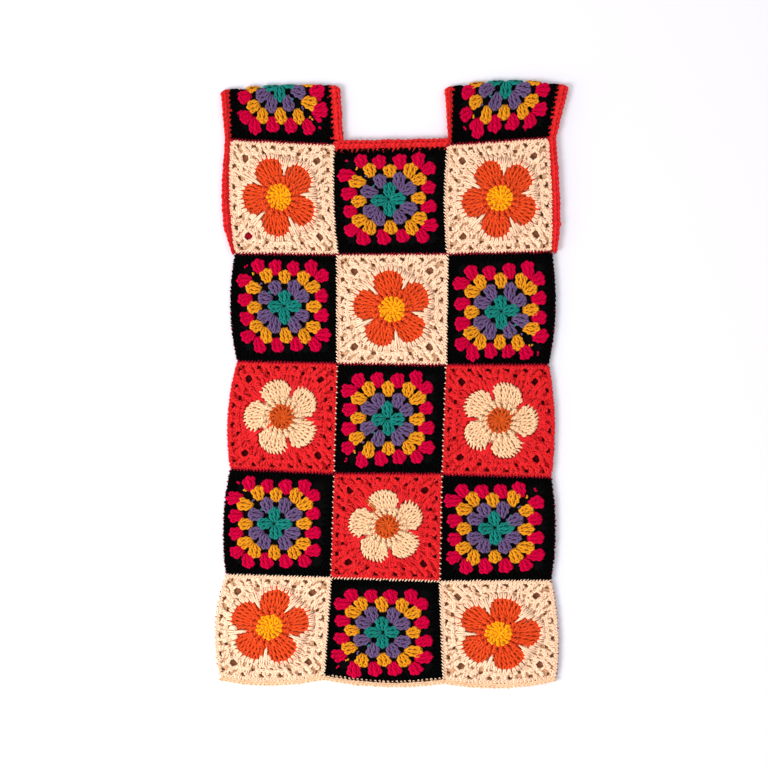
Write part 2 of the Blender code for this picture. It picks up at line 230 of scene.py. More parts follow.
# %% [markdown]
# ## Yarn as a tube
# A strand of yarn is a round profile carried along a path. All the stitches of one kind in a square
# are swept at once: their paths are one array, and so are their rings. The second UV map coordinate
# runs along the yarn, and the first counts its plies, so that a plain stripe becomes the twist.

# %% Tubes
PLIES = 3
PLY_PITCH = 5.0  # mm of yarn for one turn of the plies. Real cotton turns faster, too fine to show
UP = np.array([0.0, 0.0, 1.0])


def unit(vectors):
    """The vectors made one long."""
    return vectors / np.maximum(np.linalg.norm(vectors, axis=-1, keepdims=True), 1e-9)


def run_along(lines):
    """How far along its line each point lies, for lines (..., point, axis)."""
    steps = np.linalg.norm(np.diff(lines, axis=-2), axis=-1)
    return np.concatenate([np.zeros((*steps.shape[:-1], 1)), np.cumsum(steps, axis=-1)], axis=-1)


def tubes(lines, across, upward, sides):
    """Closed tubes round centre lines (tube, step, 3), with radii (tube, step) across and upward.

    A ring's point is the line's point plus side * across * cos(angle) + up * upward * sin(angle). The
    side is level and square to the line, and up is square to both. Each end is closed by one face.
    """
    count, steps = lines.shape[:2]
    way = unit(np.gradient(lines, axis=1))
    side = unit(np.cross(way, UP))
    up = np.cross(side, way)
    angle = np.pi / 2 + 2 * np.pi * np.arange(sides) / sides
    rings = (
        lines[:, :, None]
        + side[:, :, None] * (across[..., None] * np.cos(angle))[..., None]
        + up[:, :, None] * (upward[..., None] * np.sin(angle))[..., None]
    )
    index = np.arange(count * steps * sides).reshape(count, steps, sides)
    beside = np.roll(index, -1, axis=2)
    walls = np.stack([index[:, :-1], index[:, 1:], beside[:, 1:], beside[:, :-1]], axis=-1)
    caps = np.concatenate([index[:, 0], index[:, -1, ::-1]])
    run = run_along(lines)[..., None]
    turn = PLIES * np.arange(sides + 1) / sides + run / PLY_PITCH
    spots = np.stack([turn, np.broadcast_to(run, turn.shape)], axis=-1)
    low, high = spots[:, :-1], spots[:, 1:]
    wall_spots = np.stack([low[:, :, :-1], high[:, :, :-1], high[:, :, 1:], low[:, :, 1:]], axis=-2)
    cap_spots = np.concatenate([spots[:, 0, :-1], spots[:, -1, -2::-1]])
    faces = [walls.reshape(-1, 4), caps]
    return rings.reshape(-1, 3), faces, [wall_spots.reshape(-1, 2), cap_spots.reshape(-1, 2)]


# %% From arrays to an object
MM = 0.001
added_triangles = 0


def make_piece(name, points, faces, spots, material, replaces=None, turned=False):
    """A mesh object from points in mm, groups of faces of one size, and a UV spot for each face corner.

    turned says that the points were mirrored, so that the faces have to be turned round.
    """
    global added_triangles
    if turned:
        spots = [spot.reshape(*group.shape, 2)[:, ::-1].reshape(-1, 2) for group, spot in zip(faces, spots)]
        faces = [group[:, ::-1] for group in faces]
    corners = np.concatenate([group.ravel() for group in faces])
    sizes = np.concatenate([np.full(len(group), group.shape[1]) for group in faces])
    mesh = bpy.data.meshes.new(name)
    mesh.vertices.add(len(points))
    mesh.vertices.foreach_set("co", (points * MM).astype(np.float32).ravel())
    mesh.loops.add(len(corners))
    mesh.loops.foreach_set("vertex_index", corners.astype(np.int32))
    mesh.polygons.add(len(sizes))
    mesh.polygons.foreach_set("loop_start", (np.cumsum(sizes) - sizes).astype(np.int32))
    mesh.polygons.foreach_set("use_smooth", np.ones(len(sizes), bool))
    uv = mesh.uv_layers.new(name="yarn")
    uv.data.foreach_set("uv", np.concatenate(spots).astype(np.float32).ravel())
    mesh.update(calc_edges=True)
    mesh.validate()
    mesh.materials.append(material)
    obj = bpy.data.objects.new(name, mesh)
    bpy.context.scene.collection.objects.link(obj)
    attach(obj, "root")
    if replaces:
        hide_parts(replaces)
    added_triangles += int((sizes - 2).sum())
    return obj


def make_yarn(name, parts, lay, colour, replaces=None, turned=False):
    """One object from several (points, faces, spots), each later one's indices moved past those before."""
    points, faces, spots, first = [], [], [], 0
    for part_points, part_faces, part_spots in parts:
        points.append(part_points)
        faces += [group + first for group in part_faces]
        spots += part_spots
        first += len(part_points)
    return make_piece(name, lay(np.concatenate(points)), faces, spots, YARNS[colour], replaces, turned)


# %% [markdown]
# ## Colours and cotton
# The yarn is soft spun cotton, three plies twisted together and dyed in the hank. It gives the eye a
# matt colour that varies a little from stitch to stitch, darker grooves between the plies and a faint
# pale bloom of fibres at grazing angles. Diffuse colour with noise gives the first, a ply stripe that
# turns the colour towards a darker one gives the grooves as painted shade, and a little sheen gives the
# bloom. Bump from the same stripe and a fine noise roughens it.


# %% Material helpers
def linear(hex_colour):
    """sRGB hex to linear RGBA."""
    values = [int(hex_colour[i : i + 2], 16) / 255 for i in (1, 3, 5)]
    return (*[v / 12.92 if v <= 0.04045 else ((v + 0.055) / 1.055) ** 2.4 for v in values], 1.0)


def add(tree, kind, settings=None, **inputs):
    """One node with its settings and its inputs, where an input is a value or another node's socket."""
    node = tree.nodes.new(kind)
    for name, value in (settings or {}).items():
        setattr(node, name, value)
    for name, value in inputs.items():
        socket = node.inputs[name.replace("_", " ")]
        if isinstance(value, bpy.types.NodeSocket):
            tree.links.new(value, socket)
        else:
            socket.default_value = value
    return node


def matt(name, roughness, specular):
    """A new matt material: itself, its tree, its shader, and the place in metres that its noises read."""
    material = bpy.data.materials.new(name)
    material.use_nodes = True
    tree = material.node_tree
    shader = tree.nodes["Principled BSDF"]
    shader.inputs["Roughness"].default_value = roughness
    shader.inputs["Specular IOR Level"].default_value = specular
    return material, tree, shader, add(tree, "ShaderNodeTexCoord").outputs["Object"]


def colour_and_bump(tree, shader, main, shade, factor, bump):
    """Colour the shader main where the factor is 0 and shade where it is 1, and roughen it by a bump. The
    factor carries painted shade, and on the yarns also the hank's real unevenness.
    """
    mix = add(tree, "ShaderNodeMix", {"data_type": "RGBA"}, Factor=factor)
    mix.inputs[6].default_value = linear(main)
    mix.inputs[7].default_value = linear(shade)
    tree.links.new(mix.outputs[2], shader.inputs["Base Color"])
    tree.links.new(bump.outputs["Normal"], shader.inputs["Normal"])


STRIPE_SCALE = math.pi / 10  # a wave texture's stripes repeat once in 1 at this scale


def cotton_yarn(name, main, shade, sheen, groove_shade_depth):
    """Soft spun cotton, three plies: main is the colour on top, and shade is a darker one, painted as shade
    into the grooves between the plies and also mixed in where the hank's colour varies.

    The colour of the hank varies over 9 mm, and the fibres' bump over 0.7 mm.
    """
    material, tree, shader, place = matt(name, 0.9, 0.04)
    spot = add(tree, "ShaderNodeUVMap", {"uv_map": "yarn"}).outputs["UV"]
    plies = add(tree, "ShaderNodeTexWave", Vector=spot, Scale=STRIPE_SCALE, Distortion=0.0).outputs["Fac"]
    hank = add(tree, "ShaderNodeTexNoise", Vector=place, Scale=1000 / 9, Detail=3.0).outputs["Fac"]
    fibres = add(tree, "ShaderNodeTexNoise", Vector=place, Scale=1000 / 0.7, Detail=2.0).outputs["Fac"]
    # Painted shade: the colour goes towards the darker one in the ply stripe's grooves, and the hank's noise
    # adds the yarn's real unevenness.
    painted_groove_shade = add(tree, "ShaderNodeMapRange", Value=plies, To_Min=groove_shade_depth, To_Max=0.0)
    uneven = add(tree, "ShaderNodeMapRange", Value=hank, From_Min=0.3, From_Max=0.7, To_Max=0.35)
    both = add(tree, "ShaderNodeMath", {"operation": "ADD", "use_clamp": True})
    for share, socket in zip((painted_groove_shade, uneven), both.inputs):
        tree.links.new(share.outputs["Result"], socket)
    fuzz = add(tree, "ShaderNodeBump", Height=fibres, Strength=0.25, Distance=0.0003).outputs["Normal"]
    twist = add(tree, "ShaderNodeBump", Height=plies, Strength=0.5, Distance=0.0004, Normal=fuzz)
    colour_and_bump(tree, shader, main, shade, both.outputs["Value"], twist)
    shader.inputs["Sheen Weight"].default_value = sheen
    shader.inputs["Sheen Roughness"].default_value = 0.5
    return material


def shaded_cloth_inside(name, main, shade):
    """The shaded depth of the crochet under its top strands, as painted shade: the same cotton in darker
    colours, darker still between its stitches of 4.5 mm.
    """
    material, tree, shader, place = matt(name, 0.95, 0.1)
    # Painted shade: the colour goes to the darker one towards the edge of each 4.5 mm stitch, where shade
    # falls between stitches.
    stitches = add(tree, "ShaderNodeTexVoronoi", Vector=place, Scale=1000 / 4.5).outputs["Distance"]
    bump = add(tree, "ShaderNodeBump", {"invert": True}, Strength=0.8, Distance=0.0008, Height=stitches)
    colour_and_bump(tree, shader, main, shade, stitches, bump)
    return material


# %% The dyed yarns
# Each yarn's colour on top, its darker colour painted into the grooves as shade and mixed in where the hank
# varies, sheen, and how dark that painted shade in the grooves is
YARN_LOOKS = {
    "black": ("#030303", "#010102", 0.0, 0.3),  # so deep that its stitches hardly show
    "cream": ("#FFDDBD", "#EBBB97", 0.04, 0.3),  # warm and pale, and shows every small shadow
    "red": ("#E62A2E", "#C80F15", 0.04, 0.3),  # a full poppy red
    "red_edging": ("#EE2C2D", "#A8080D", 0.04, 0.4),  # the same red, with darker painted shade in the grooves of a thick edge
    "crimson": ("#D0003D", "#AE0031", 0.0, 0.2),  # a cold pinkish red that glows on black
    "wine": ("#AE0C2C", "#6E0519", 0.0, 0.3),  # the dark red dots of the seams
    "mustard": ("#ECA01C", "#B96C08", 0.04, 0.3),  # a brownish yellow
    "golden": ("#FFB00C", "#EE8803", 0.04, 0.3),  # a bright egg yellow
    "purple": ("#6F5780", "#523E62", 0.04, 0.3),  # a greyish violet
    "teal": ("#168C80", "#055449", 0.04, 0.3),  # a cool green, with dark painted shade in its grooves
    "orange": ("#EB5321", "#C4320B", 0.04, 0.3),  # a strong red orange
    "rust": ("#D4571C", "#AE3E0C", 0.04, 0.3),  # the same orange, browner
    "ecru": ("#F7D0A6", "#E0AE80", 0.04, 0.3),  # a cream with more yellow
    "peach": ("#FFD9B4", "#EAB68C", 0.04, 0.3),  # the pale rim of the hem
}
YARNS = {colour: cotton_yarn(colour + "_cotton_yarn", *looks) for colour, looks in YARN_LOOKS.items()}
# Painted shade for what shows between the strands of a front square, and, with _behind, through its holes:
# darker copies of the yarns' colours, darker still behind the holes for cream and red
SHADED_INSIDES = {
    "granny": shaded_cloth_inside("black_crochet_inside", "#020202", "#010101"),
    "cream": shaded_cloth_inside("cream_crochet_shaded_inside", "#DDB28A", "#BF9069"),
    "red": shaded_cloth_inside("red_crochet_shaded_inside", "#D4191E", "#A80F14"),
    "cream_behind": shaded_cloth_inside("cream_crochet_shaded_behind", "#A0694A", "#7A4A2E"),
    "red_behind": shaded_cloth_inside("red_crochet_shaded_behind", "#570709", "#360304"),
    "granny_behind": shaded_cloth_inside("black_crochet_behind", "#020202", "#010101"),
}
print("yarns:", len(YARNS))

# %% [markdown]
# ## The stitches
# Each kind of stitch is one short path, given by a few points with named columns: across and along
# the stitch, in shares of its half width and length, height in yarn radii, and thickness. A treble
# (the post) goes up one side, crosses over itself, loops round at its head and comes down behind.
# A chain is a teardrop whose round end holds the next one. A real stitch has more hidden turns, which
# aren't made, because the ones on top cover them.

# %% Paths of the stitches
def twisted_post(turns):
    """The path of a post: a strand goes up, loops over at the head, and comes down round itself.

    With phase = 180 degrees * turns * along, the strand going up lies at across = 0.5 cos(phase) and
    height = 1.2 + 0.7 sin(phase), and the one coming down at minus that across and 1.2 - 0.7 sin(phase).
    So the strand on top always slants the same way, as in a rope.
    """
    along = np.linspace(0, 0.84, 2 * turns + 1)
    phase = np.pi * turns * along / 0.84
    across, rise = 0.5 * np.cos(phase), 0.7 * np.sin(phase)
    thickness = between(0.85, 1.05, along)
    going_up = np.stack([across, along, 1.2 + rise, thickness], axis=1)
    coming_down = np.stack([-across, along, 1.2 - rise, thickness], axis=1)[::-1]
    side = np.cos(np.pi * turns)
    head = np.array([(0.52 * side, 0.93, 1.6, 1.2), (0.0, 1.02, 1.8, 1.35), (-0.52 * side, 0.93, 1.6, 1.2)])
    foot = np.array([(0.3, -0.08, -0.2, 0.7)])
    return np.concatenate([foot, going_up, head, coming_down, foot * (-1, 1, 1, 1)])


# Columns of a path: across, along, height, thickness
SHORT_POST, POST, PETAL_POST = twisted_post(1), twisted_post(2), twisted_post(3)
PLAIN_POST = np.array([
    (-0.35, -0.08, 0.0, 0.80), (-0.50, 0.30, 1.1, 0.95), (-0.58, 0.78, 1.5, 1.05), (0.05, 1.05, 1.8, 1.10),
    (0.60, 0.76, 1.7, 1.05), (0.30, 0.30, 1.9, 0.95), (-0.15, -0.08, 0.9, 0.80),
])
CHAIN = np.array([
    (0.10, -0.62, 1.9, 0.85), (0.45, -0.25, 1.9, 1.00), (0.64, 0.15, 1.6, 1.05), (0.38, 0.54, 1.1, 0.95),
    (-0.38, 0.54, 1.1, 0.95), (-0.64, 0.15, 1.6, 1.05), (-0.45, -0.25, 1.9, 1.00), (-0.10, -0.62, 1.9, 0.85),
])
ARCH = np.array([
    (0.50, 0.00, 0.5, 0.85), (0.58, 0.50, 1.5, 1.00), (0.30, 0.96, 2.0, 1.00),
    (-0.30, 0.96, 2.0, 1.00), (-0.58, 0.50, 1.5, 1.00), (-0.50, 0.00, 0.5, 0.85),
])
SPIKE = np.array([
    (0.60, -0.05, 0.8, 0.90), (0.52, 0.35, 2.4, 1.00), (0.30, 0.75, 3.0, 0.95), (0.00, 1.00, 2.4, 0.80),
    (-0.28, 0.75, 3.0, 0.95), (-0.50, 0.35, 2.4, 1.00), (-0.60, -0.05, 0.8, 0.90),
])
BAR = np.array([
    (0.0, 0.00, -0.2, 0.90), (0.0, 0.20, 1.2, 1.00), (0.0, 0.50, 1.7, 1.05),
    (0.0, 0.80, 1.2, 1.00), (0.0, 1.00, -0.2, 0.90),
])
# A mound's share of its width and rise, along it
MOUND_ALONG = np.array([0.00, 0.12, 0.40, 0.70, 0.90, 1.00])
MOUND_SHARE = np.array([0.35, 0.85, 1.00, 1.00, 0.80, 0.30])

YARN_RADIUS = 1.3
BASE_TOP = 1.2  # the top of a square's thin base, off the cloth's inside
SIDES = 4  # the faces round a strand, which smooth shading makes round
FLAT = {"sides": 3, "tall": 0.5, "radius": 1.6}  # stitches that are pressed between the cloth and the table
HOLE_REACH = 16.0  # strands are pushed aside up to this far from a hole's middle

hand = np.random.default_rng(5)  # the small unevenness of handwork


# %% Working a stitch many times
def opened(flat, holes):
    """Flat points pushed aside by holes.

    A point r from the middle of a hole goes to r * sqrt(1 + (radius / r)^2 * (1 - r / reach)).
    """
    for x, y, radius in holes:
        off = flat - (x, y)
        far = np.maximum(np.linalg.norm(off, axis=-1, keepdims=True), 0.2)
        pushed = (x, y) + off * np.sqrt(1 + (radius / far) ** 2 * (1 - np.minimum(far / HOLE_REACH, 1)))
        flat = np.where(far < HOLE_REACH, pushed, flat)
    return flat


def sideways(way):
    """Each flat direction turned a quarter to the right."""
    return np.stack([way[..., 1], -way[..., 0]], axis=-1)


def worked(path, foot, head, foot_width=1.0, head_width=1.0, lift=0.0, crown=0.0, bow=0.0, rough=0.25,
           radius=YARN_RADIUS, sides=SIDES, tall=1.0, holes=()):
    """The same stitch worked many times, from each foot to each head, two arrays (stitch, 2).

    A path's point lies along the line from foot to head by its along, and beside it by its across times
    half the width there, which goes from the foot's to the head's. Its height over the base is lift +
    crown * sin(180 degrees * along) + height * radius, and it bows sideways by bow times the same sine.
    Each point is up to rough out of place. Widths, lift, bow and radius may differ by stitch.
    """
    across, along, height, thickness = path.T
    way = head - foot
    foot_width, head_width, lift, bow, radius = (
        np.broadcast_to(value, len(foot))[:, None] for value in (foot_width, head_width, lift, bow, radius)
    )
    share = np.clip(along, 0, 1)
    arch = np.sin(np.pi * share)
    offset = across * between(foot_width, head_width, share) / 2 + bow * arch
    flat = foot[:, None] + way[:, None] * along[:, None] + sideways(unit(way))[:, None] * offset[..., None]
    flat = opened(flat + hand.uniform(-rough, rough, flat.shape), holes)
    z = BASE_TOP + lift + crown * arch + height * radius * tall
    z = z + hand.uniform(-rough, rough, z.shape) * tall
    lines = np.concatenate([flat, np.broadcast_to(z, flat.shape[:2])[..., None]], axis=-1)
    thick = np.broadcast_to(thickness * radius, flat.shape[:2])
    return tubes(lines, thick, thick, sides)


def padding(foot, head, foot_width, head_width, rise, sides=6):
    """Low closed mounds under groups of stitches, each from its foot to its head, rise high."""
    foot, head = np.atleast_2d(foot), np.atleast_2d(head)
    flat = between(foot[:, None], head[:, None], MOUND_ALONG[:, None])
    z = np.full(flat.shape[:2], BASE_TOP - 0.2)
    half = between(foot_width, head_width, MOUND_ALONG) / 2 * MOUND_SHARE * np.ones_like(z)
    upward = rise * MOUND_SHARE * np.ones_like(z)
    return tubes(np.concatenate([flat, z[..., None]], axis=-1), half, upward, sides)


# %% Flat points
def turned_by(points, degrees):
    """Flat points turned about the middle."""
    turn = np.radians(degrees)
    x, y = points[..., 0], points[..., 1]
    return np.stack([x * np.cos(turn) - y * np.sin(turn), x * np.sin(turn) + y * np.cos(turn)], axis=-1)


def four_sides(points):
    """The points of one side of a square, turned to all four."""
    return np.concatenate([turned_by(points, 90 * side) for side in range(4)])


def polar(degrees, reach):
    """Flat points from directions in degrees and reaches."""
    degrees, reach = np.broadcast_arrays(degrees, reach)
    angle = np.radians(degrees)
    return np.stack([reach * np.cos(angle), reach * np.sin(angle)], axis=-1)


def evenly(count, turn=0.0):
    """Directions in degrees, evenly round from a turn."""
    return turn + (np.arange(count) + 0.5) * 360 / count


def jitter(dice, points, size):
    """The points moved by up to size in any direction, as hands do."""
    return points + dice.uniform(-size, size, points.shape)


# %% [markdown]
# ## Granny squares
# A granny square is worked in rounds from a small ring: four clusters of three trebles, then eight,
# twelve and sixteen, each in another colour and each into the spaces of the round before. A fan of
# three posts over a low mound of the same yarn gives a cluster its rounded wide end and its narrow
# foot. The posts lean over the spaces, so each round's heads are turned a little. At one corner the
# rounds begin and end: the clusters part there, and the yarns' ends show as small dots. The black
# border is a round of close trebles and a row of short stitches.

# %% Rounds of clusters
# For one side of the square, from its middle: colour, foot along, foot out, head along, head out, width,
# how high the mound under the posts rises, and how far the heads turn about the square's middle, in degrees
CLUSTERS = (
    ("teal", 0.0, 3.4, 0.0, 20.5, 19.0, 2.4, 3.0),
    ("purple", 9.8, 15.5, 14.8, 32.5, 20.0, 2.2, 1.5),
    ("mustard", 0.0, 30.0, 0.0, 46.0, 19.5, 2.2, 1.5),
    ("mustard", 23.5, 29.5, 28.0, 46.0, 19.5, 2.2, 1.5),
    ("crimson", 12.5, 41.5, 12.8, 57.8, 20.0, 4.1, 3.8),
    ("crimson", 36.0, 41.5, 38.6, 58.2, 20.0, 4.1, 3.8),
)
FAN = np.array([-1.0, 0.0, 1.0])  # the three posts of a cluster
FOOT_SPREAD, HEAD_SPREAD = 0.11, 0.27  # how far the outer posts stand off the middle one, of the width
OUTER_POSTS_SHORTER = 2.5
STRAYS = (("crimson", 74.0), ("mustard", 59.0), ("purple", 42.0), ("teal", 25.0))  # the dots' reach
PARTING = 4.0  # degrees that the clusters beside the rounds' beginning turn away from it


def cluster_ends(foot, head, width):
    """The feet and heads of each cluster's three posts: the middle head stands out the furthest."""
    way = unit(head - foot)
    beside = sideways(way)[:, None]
    feet = foot[:, None] + beside * (FAN * width * FOOT_SPREAD)[:, None]
    heads = head[:, None] + beside * (FAN * width * HEAD_SPREAD)[:, None]
    heads = heads - way[:, None] * (FAN**2 * OUTER_POSTS_SHORTER)[:, None]
    return feet.reshape(-1, 2), heads.reshape(-1, 2)


def parted(points, corner):
    """Points turned away from a corner's direction, most beside it.

    With off as the angle from the corner's direction, it becomes off + sign(off) * 4 * (1 - |off| / 90).
    """
    off = np.degrees(np.arctan2(points[:, 1], points[:, 0])) - corner
    off = np.mod(off + 180, 360) - 180
    more = np.sign(off) * PARTING * np.clip(1 - np.abs(off) / 90, 0, 1)
    return polar(corner + off + more, np.linalg.norm(points, axis=1))


def granny_clusters(dice, offset, join, detail):
    """{colour: parts} for the clusters of one granny square, whose rounds begin in the direction join."""
    made = {}
    for colour, foot_along, foot_out, head_along, head_out, width, rise, lean in CLUSTERS:
        signs = (1,) if head_along == 0 else (1, -1)
        foot = four_sides(np.array([(sign * foot_along, foot_out) for sign in signs]))
        head = four_sides(np.array([(sign * head_along, head_out) for sign in signs]))
        foot = parted(jitter(dice, foot, 0.9), join) + offset
        head = parted(turned_by(jitter(dice, head, 1.5), lean), join) + offset
        feet, heads = cluster_ends(foot, head, width)
        parts = made.setdefault(colour, [])
        if not detail:
            parts.append(worked(PLAIN_POST, feet, heads, width * 0.26, width * 0.4, lift=-0.4, **FLAT))
            continue
        parts.append(padding(foot, head + unit(head - foot) * 1.4, width * 0.44, width * 0.98, rise))
        heads = jitter(dice, heads, 0.7)
        radius = 1.5 * dice.uniform(0.92, 1.1, len(feet))
        lift = np.tile([0.1, 0.9, 0.1], len(foot)) + dice.uniform(-0.2, 0.3, len(feet))
        bow = np.tile(FAN * width * 0.09, len(foot))
        widths = (width * 0.25, width * 0.36)
        parts.append(worked(POST, feet, heads, *widths, lift=lift, crown=1.5, bow=bow, radius=radius))
    for colour, reach in STRAYS:
        middle = jitter(dice, polar(np.full(2, join), reach), 2.0) + offset
        half = polar(dice.uniform(0, 180, 2), 1.1)
        lift = 1.8 if detail else 0.0
        made[colour].append(worked(BAR, middle - half, middle + half, lift=lift, radius=1.1))
    return made


# %% Rounds that follow the square
def round_line(radius, squareness, shares):
    """Points on a rounded square at shares of the way round it, from the middle of its right side.

    Its reach at an angle is radius * (1 + squareness * (1 / max(|cos|, |sin|) - 1)), so that 0 gives a
    circle and 1 a square. The shares are of its length.
    """
    angle = np.linspace(0, 2 * np.pi, 721)
    circle = np.stack([np.cos(angle), np.sin(angle)], axis=-1)
    stretch = 1 / np.abs(circle).max(axis=-1, keepdims=True)
    line = radius * (1 + squareness * (stretch - 1)) * circle
    run = run_along(line)
    return line_at(line, np.mod(shares, 1.0) * run[-1], run)


def line_at(line, wanted, run):
    """The points of a flat line where the run along it, which is given for its own points, is as wanted."""
    return np.stack([np.interp(wanted, run, line[:, axis]) for axis in (0, 1)], axis=-1)


def round_of_posts(dice, inner, outer, count, turn=0.0):
    """A full round of close posts between two rounded squares, each a pair (radius, squareness)."""
    shares = (np.arange(count) + 0.5) / count
    foot, head = round_line(*inner, shares), round_line(*outer, shares + turn)
    return jitter(dice, foot, 0.4), jitter(dice, head, 0.4)


# %% A granny square
def granny_square(dice, offset=(0.0, 0.0), join=135.0, detail=True):
    """{colour: parts} for one granny square, in its own coordinates."""
    made = granny_clusters(dice, np.array(offset), join, detail)
    foot, head = round_of_posts(dice, (57.5, 0.95), (65.0, 0.98), 56 if detail else 40)
    made["black"] = [worked(PLAIN_POST, foot, head, 6.8, 7.8, **({} if detail else FLAT))]
    made["black"] += edge_row(dice, 27 if detail else 20, detail)
    return made


# %% [markdown]
# ## Flower squares
# The flower is worked from a small ring: a disc of one or two rounds of trebles, a ring of short
# stitches, and five petals of long posts that fan out. Low mounds of the same yarn under the disc,
# the petals and the valleys between them make it plump. On the cream squares the ground then closes
# over the petals' edges with small loops, and a long spike goes down between each two. On the red
# squares the petals end in teeth. Rounds of trebles turn the circle into a square, with a chain line
# between the last two. Where the rounds part, holes stay open at the corners and sides. Two short
# bars lie across each end of a corner hole, and small slits stay open beside the row at the edge.

# %% Sizes of a flower
PETALS = 5
PETAL_STEP = 360 / PETALS
# The petal's outline, in degrees from its middle and mm from the flower's middle
PETAL_DEGREES = np.array([-36.0, -34.0, -30.0, -24.0, -15.0, -5.0, 5.0, 15.0, 24.0, 30.0, 34.0, 36.0])
PETAL_REACH = np.array([28.0, 34.0, 42.5, 48.5, 52.0, 53.5, 53.5, 52.0, 48.5, 42.5, 34.0, 28.0])
POST_DEGREES = np.linspace(-27, 27, 8)
# The rounds of the centre: path, count, inner and outer reach, width at the foot and at the head
CENTRE_ROUNDS = {
    "golden": ((SHORT_POST, 8, 1.2, 9.0, 1.4, 6.4), (SHORT_POST, 15, 7.4, 15.4, 3.8, 6.8)),
    "rust": ((POST, 13, 2.4, 15.4, 1.6, 7.8),),
}
# The rounded squares of the ground, each a radius in mm and how square it is, from 0 to 1
FIRST_ROUND = (51.0, 0.42)
SECOND_ROUND = ((50.0, 0.42), (57.0, 0.62))
CHAIN_ROUND = (57.2, 0.66)
LAST_ROUND = ((56.5, 0.62), (64.6, 0.97))
BARS_OUT = np.array([[-7.0], [-5.9], [5.9], [7.0]])  # the bars' distances from a corner hole's middle
CORNERS = [(x, y) for x in (-1, 1) for y in (-1, 1)]


# %% Holes and slits
def both_ways(places, radius):
    """Holes at (x, y) and at (y, x) of each place: x, y and radius."""
    return [(x, y, radius) for x, y in places] + [(y, x, radius) for x, y in places]


def holes_of_flower(corner, out, beside, corner_radius=5.0, side_radius=2.4):
    """Four holes at the corners and two on each side: x, y and radius."""
    corners = [(corner * x, corner * y, corner_radius) for x, y in CORNERS]
    return corners + both_ways([(x * out, y * beside) for x in (1, -1) for y in (-1, 1)], side_radius)


def gaps_of_granny(lower, upper):
    """The four gaps at the corners of a round, which are nearer the middle or further from it."""
    reaches = {-1: lower, 1: upper}
    return [(x * reaches[y], y * reaches[y], 3.4) for x, y in CORNERS]


# The holes of the back squares lie a little further in, so that no light comes through both panels
HOLES = {
    "flower": holes_of_flower(48.5, 55.0, 23.0),
    "flower_behind": holes_of_flower(41.0, 47.5, 30.0, 4.4, 2.6),
    "granny": [(0.0, 0.0, 4.0)] + gaps_of_granny(14.0, 14.0),
    "granny_behind": gaps_of_granny(21.0, 21.0),
    "granny_folded": gaps_of_granny(14.0, 21.0),
}
SLITS = np.array([12.5, 38.0, 59.7])  # small dark slits lie here beside the last round, along each side
SLIT_OUT = 63.2
SLIT_SIDES = [(x * place, y * SLIT_OUT) for place in SLITS for x, y in CORNERS]
SLIT_HOLES = both_ways([(x + shift, y) for x, y in SLIT_SIDES for shift in (-1.9, 1.9)], 1.2)
HOLES["flower_base"] = HOLES["flower"] + both_ways(SLIT_SIDES, 0.4)


def near_slit(along):
    """Whether a place along a side is near a slit."""
    return (np.abs(np.abs(along)[..., None] - SLITS) < 3.5).any(axis=-1)


def pulled_in(points):
    """Heads of the last round, 3.7 mm nearer the middle where a slit is near."""
    along = np.sort(np.abs(points), axis=-1)
    near = near_slit(along[..., 0]) & (along[..., 1] > 63.0)
    return np.where(near[..., None], points * (1 - 3.7 / along[..., 1:]), points)


def beside_middles(foot, head, holes):
    """The same stitches, moved aside to 2.5 mm off the middle of any hole that they would cross."""
    room = 2.5
    way = unit(head - foot)
    beside = sideways(way)
    for x, y, _ in holes:
        to_hole = foot - (x, y)
        passing = (to_hole * beside).sum(axis=1)
        run = -(to_hole * way).sum(axis=1)
        crosses = (np.abs(passing) < room) & (run > -2) & (run < np.linalg.norm(head - foot, axis=1) + 2)
        push = np.where(crosses, np.where(passing < 0, -room, room) - passing, 0.0)[:, None]
        foot, head = foot + beside * push, head + beside * push
    return foot, head


# %% The flower itself
def outline_of_flower(degrees, turn):
    """The flower's reach in each direction: its petal outline, repeated five times."""
    local = np.mod(degrees - turn + PETAL_STEP / 2, PETAL_STEP) - PETAL_STEP / 2
    return np.interp(local, PETAL_DEGREES, PETAL_REACH)


def ring_of(dice, turn, offset, path, count, inner, outer, foot_width, head_width,
            lean=0.0, uneven=0.3, **kept):
    """A ring of stitches that point outwards, from the inner reach to the outer one, a little uneven."""
    around = evenly(count, turn)
    foot = jitter(dice, polar(around, inner), 0.3) + offset
    head = jitter(dice, polar(around + lean, outer), uneven) + offset
    return worked(path, foot, head, foot_width, head_width, **kept)


def disc(offset, half, width, rise):
    """A round mound under the middle of a flower."""
    return padding(offset - (half, 0.0), offset + (half, 0.0), width, width, rise, sides=12)


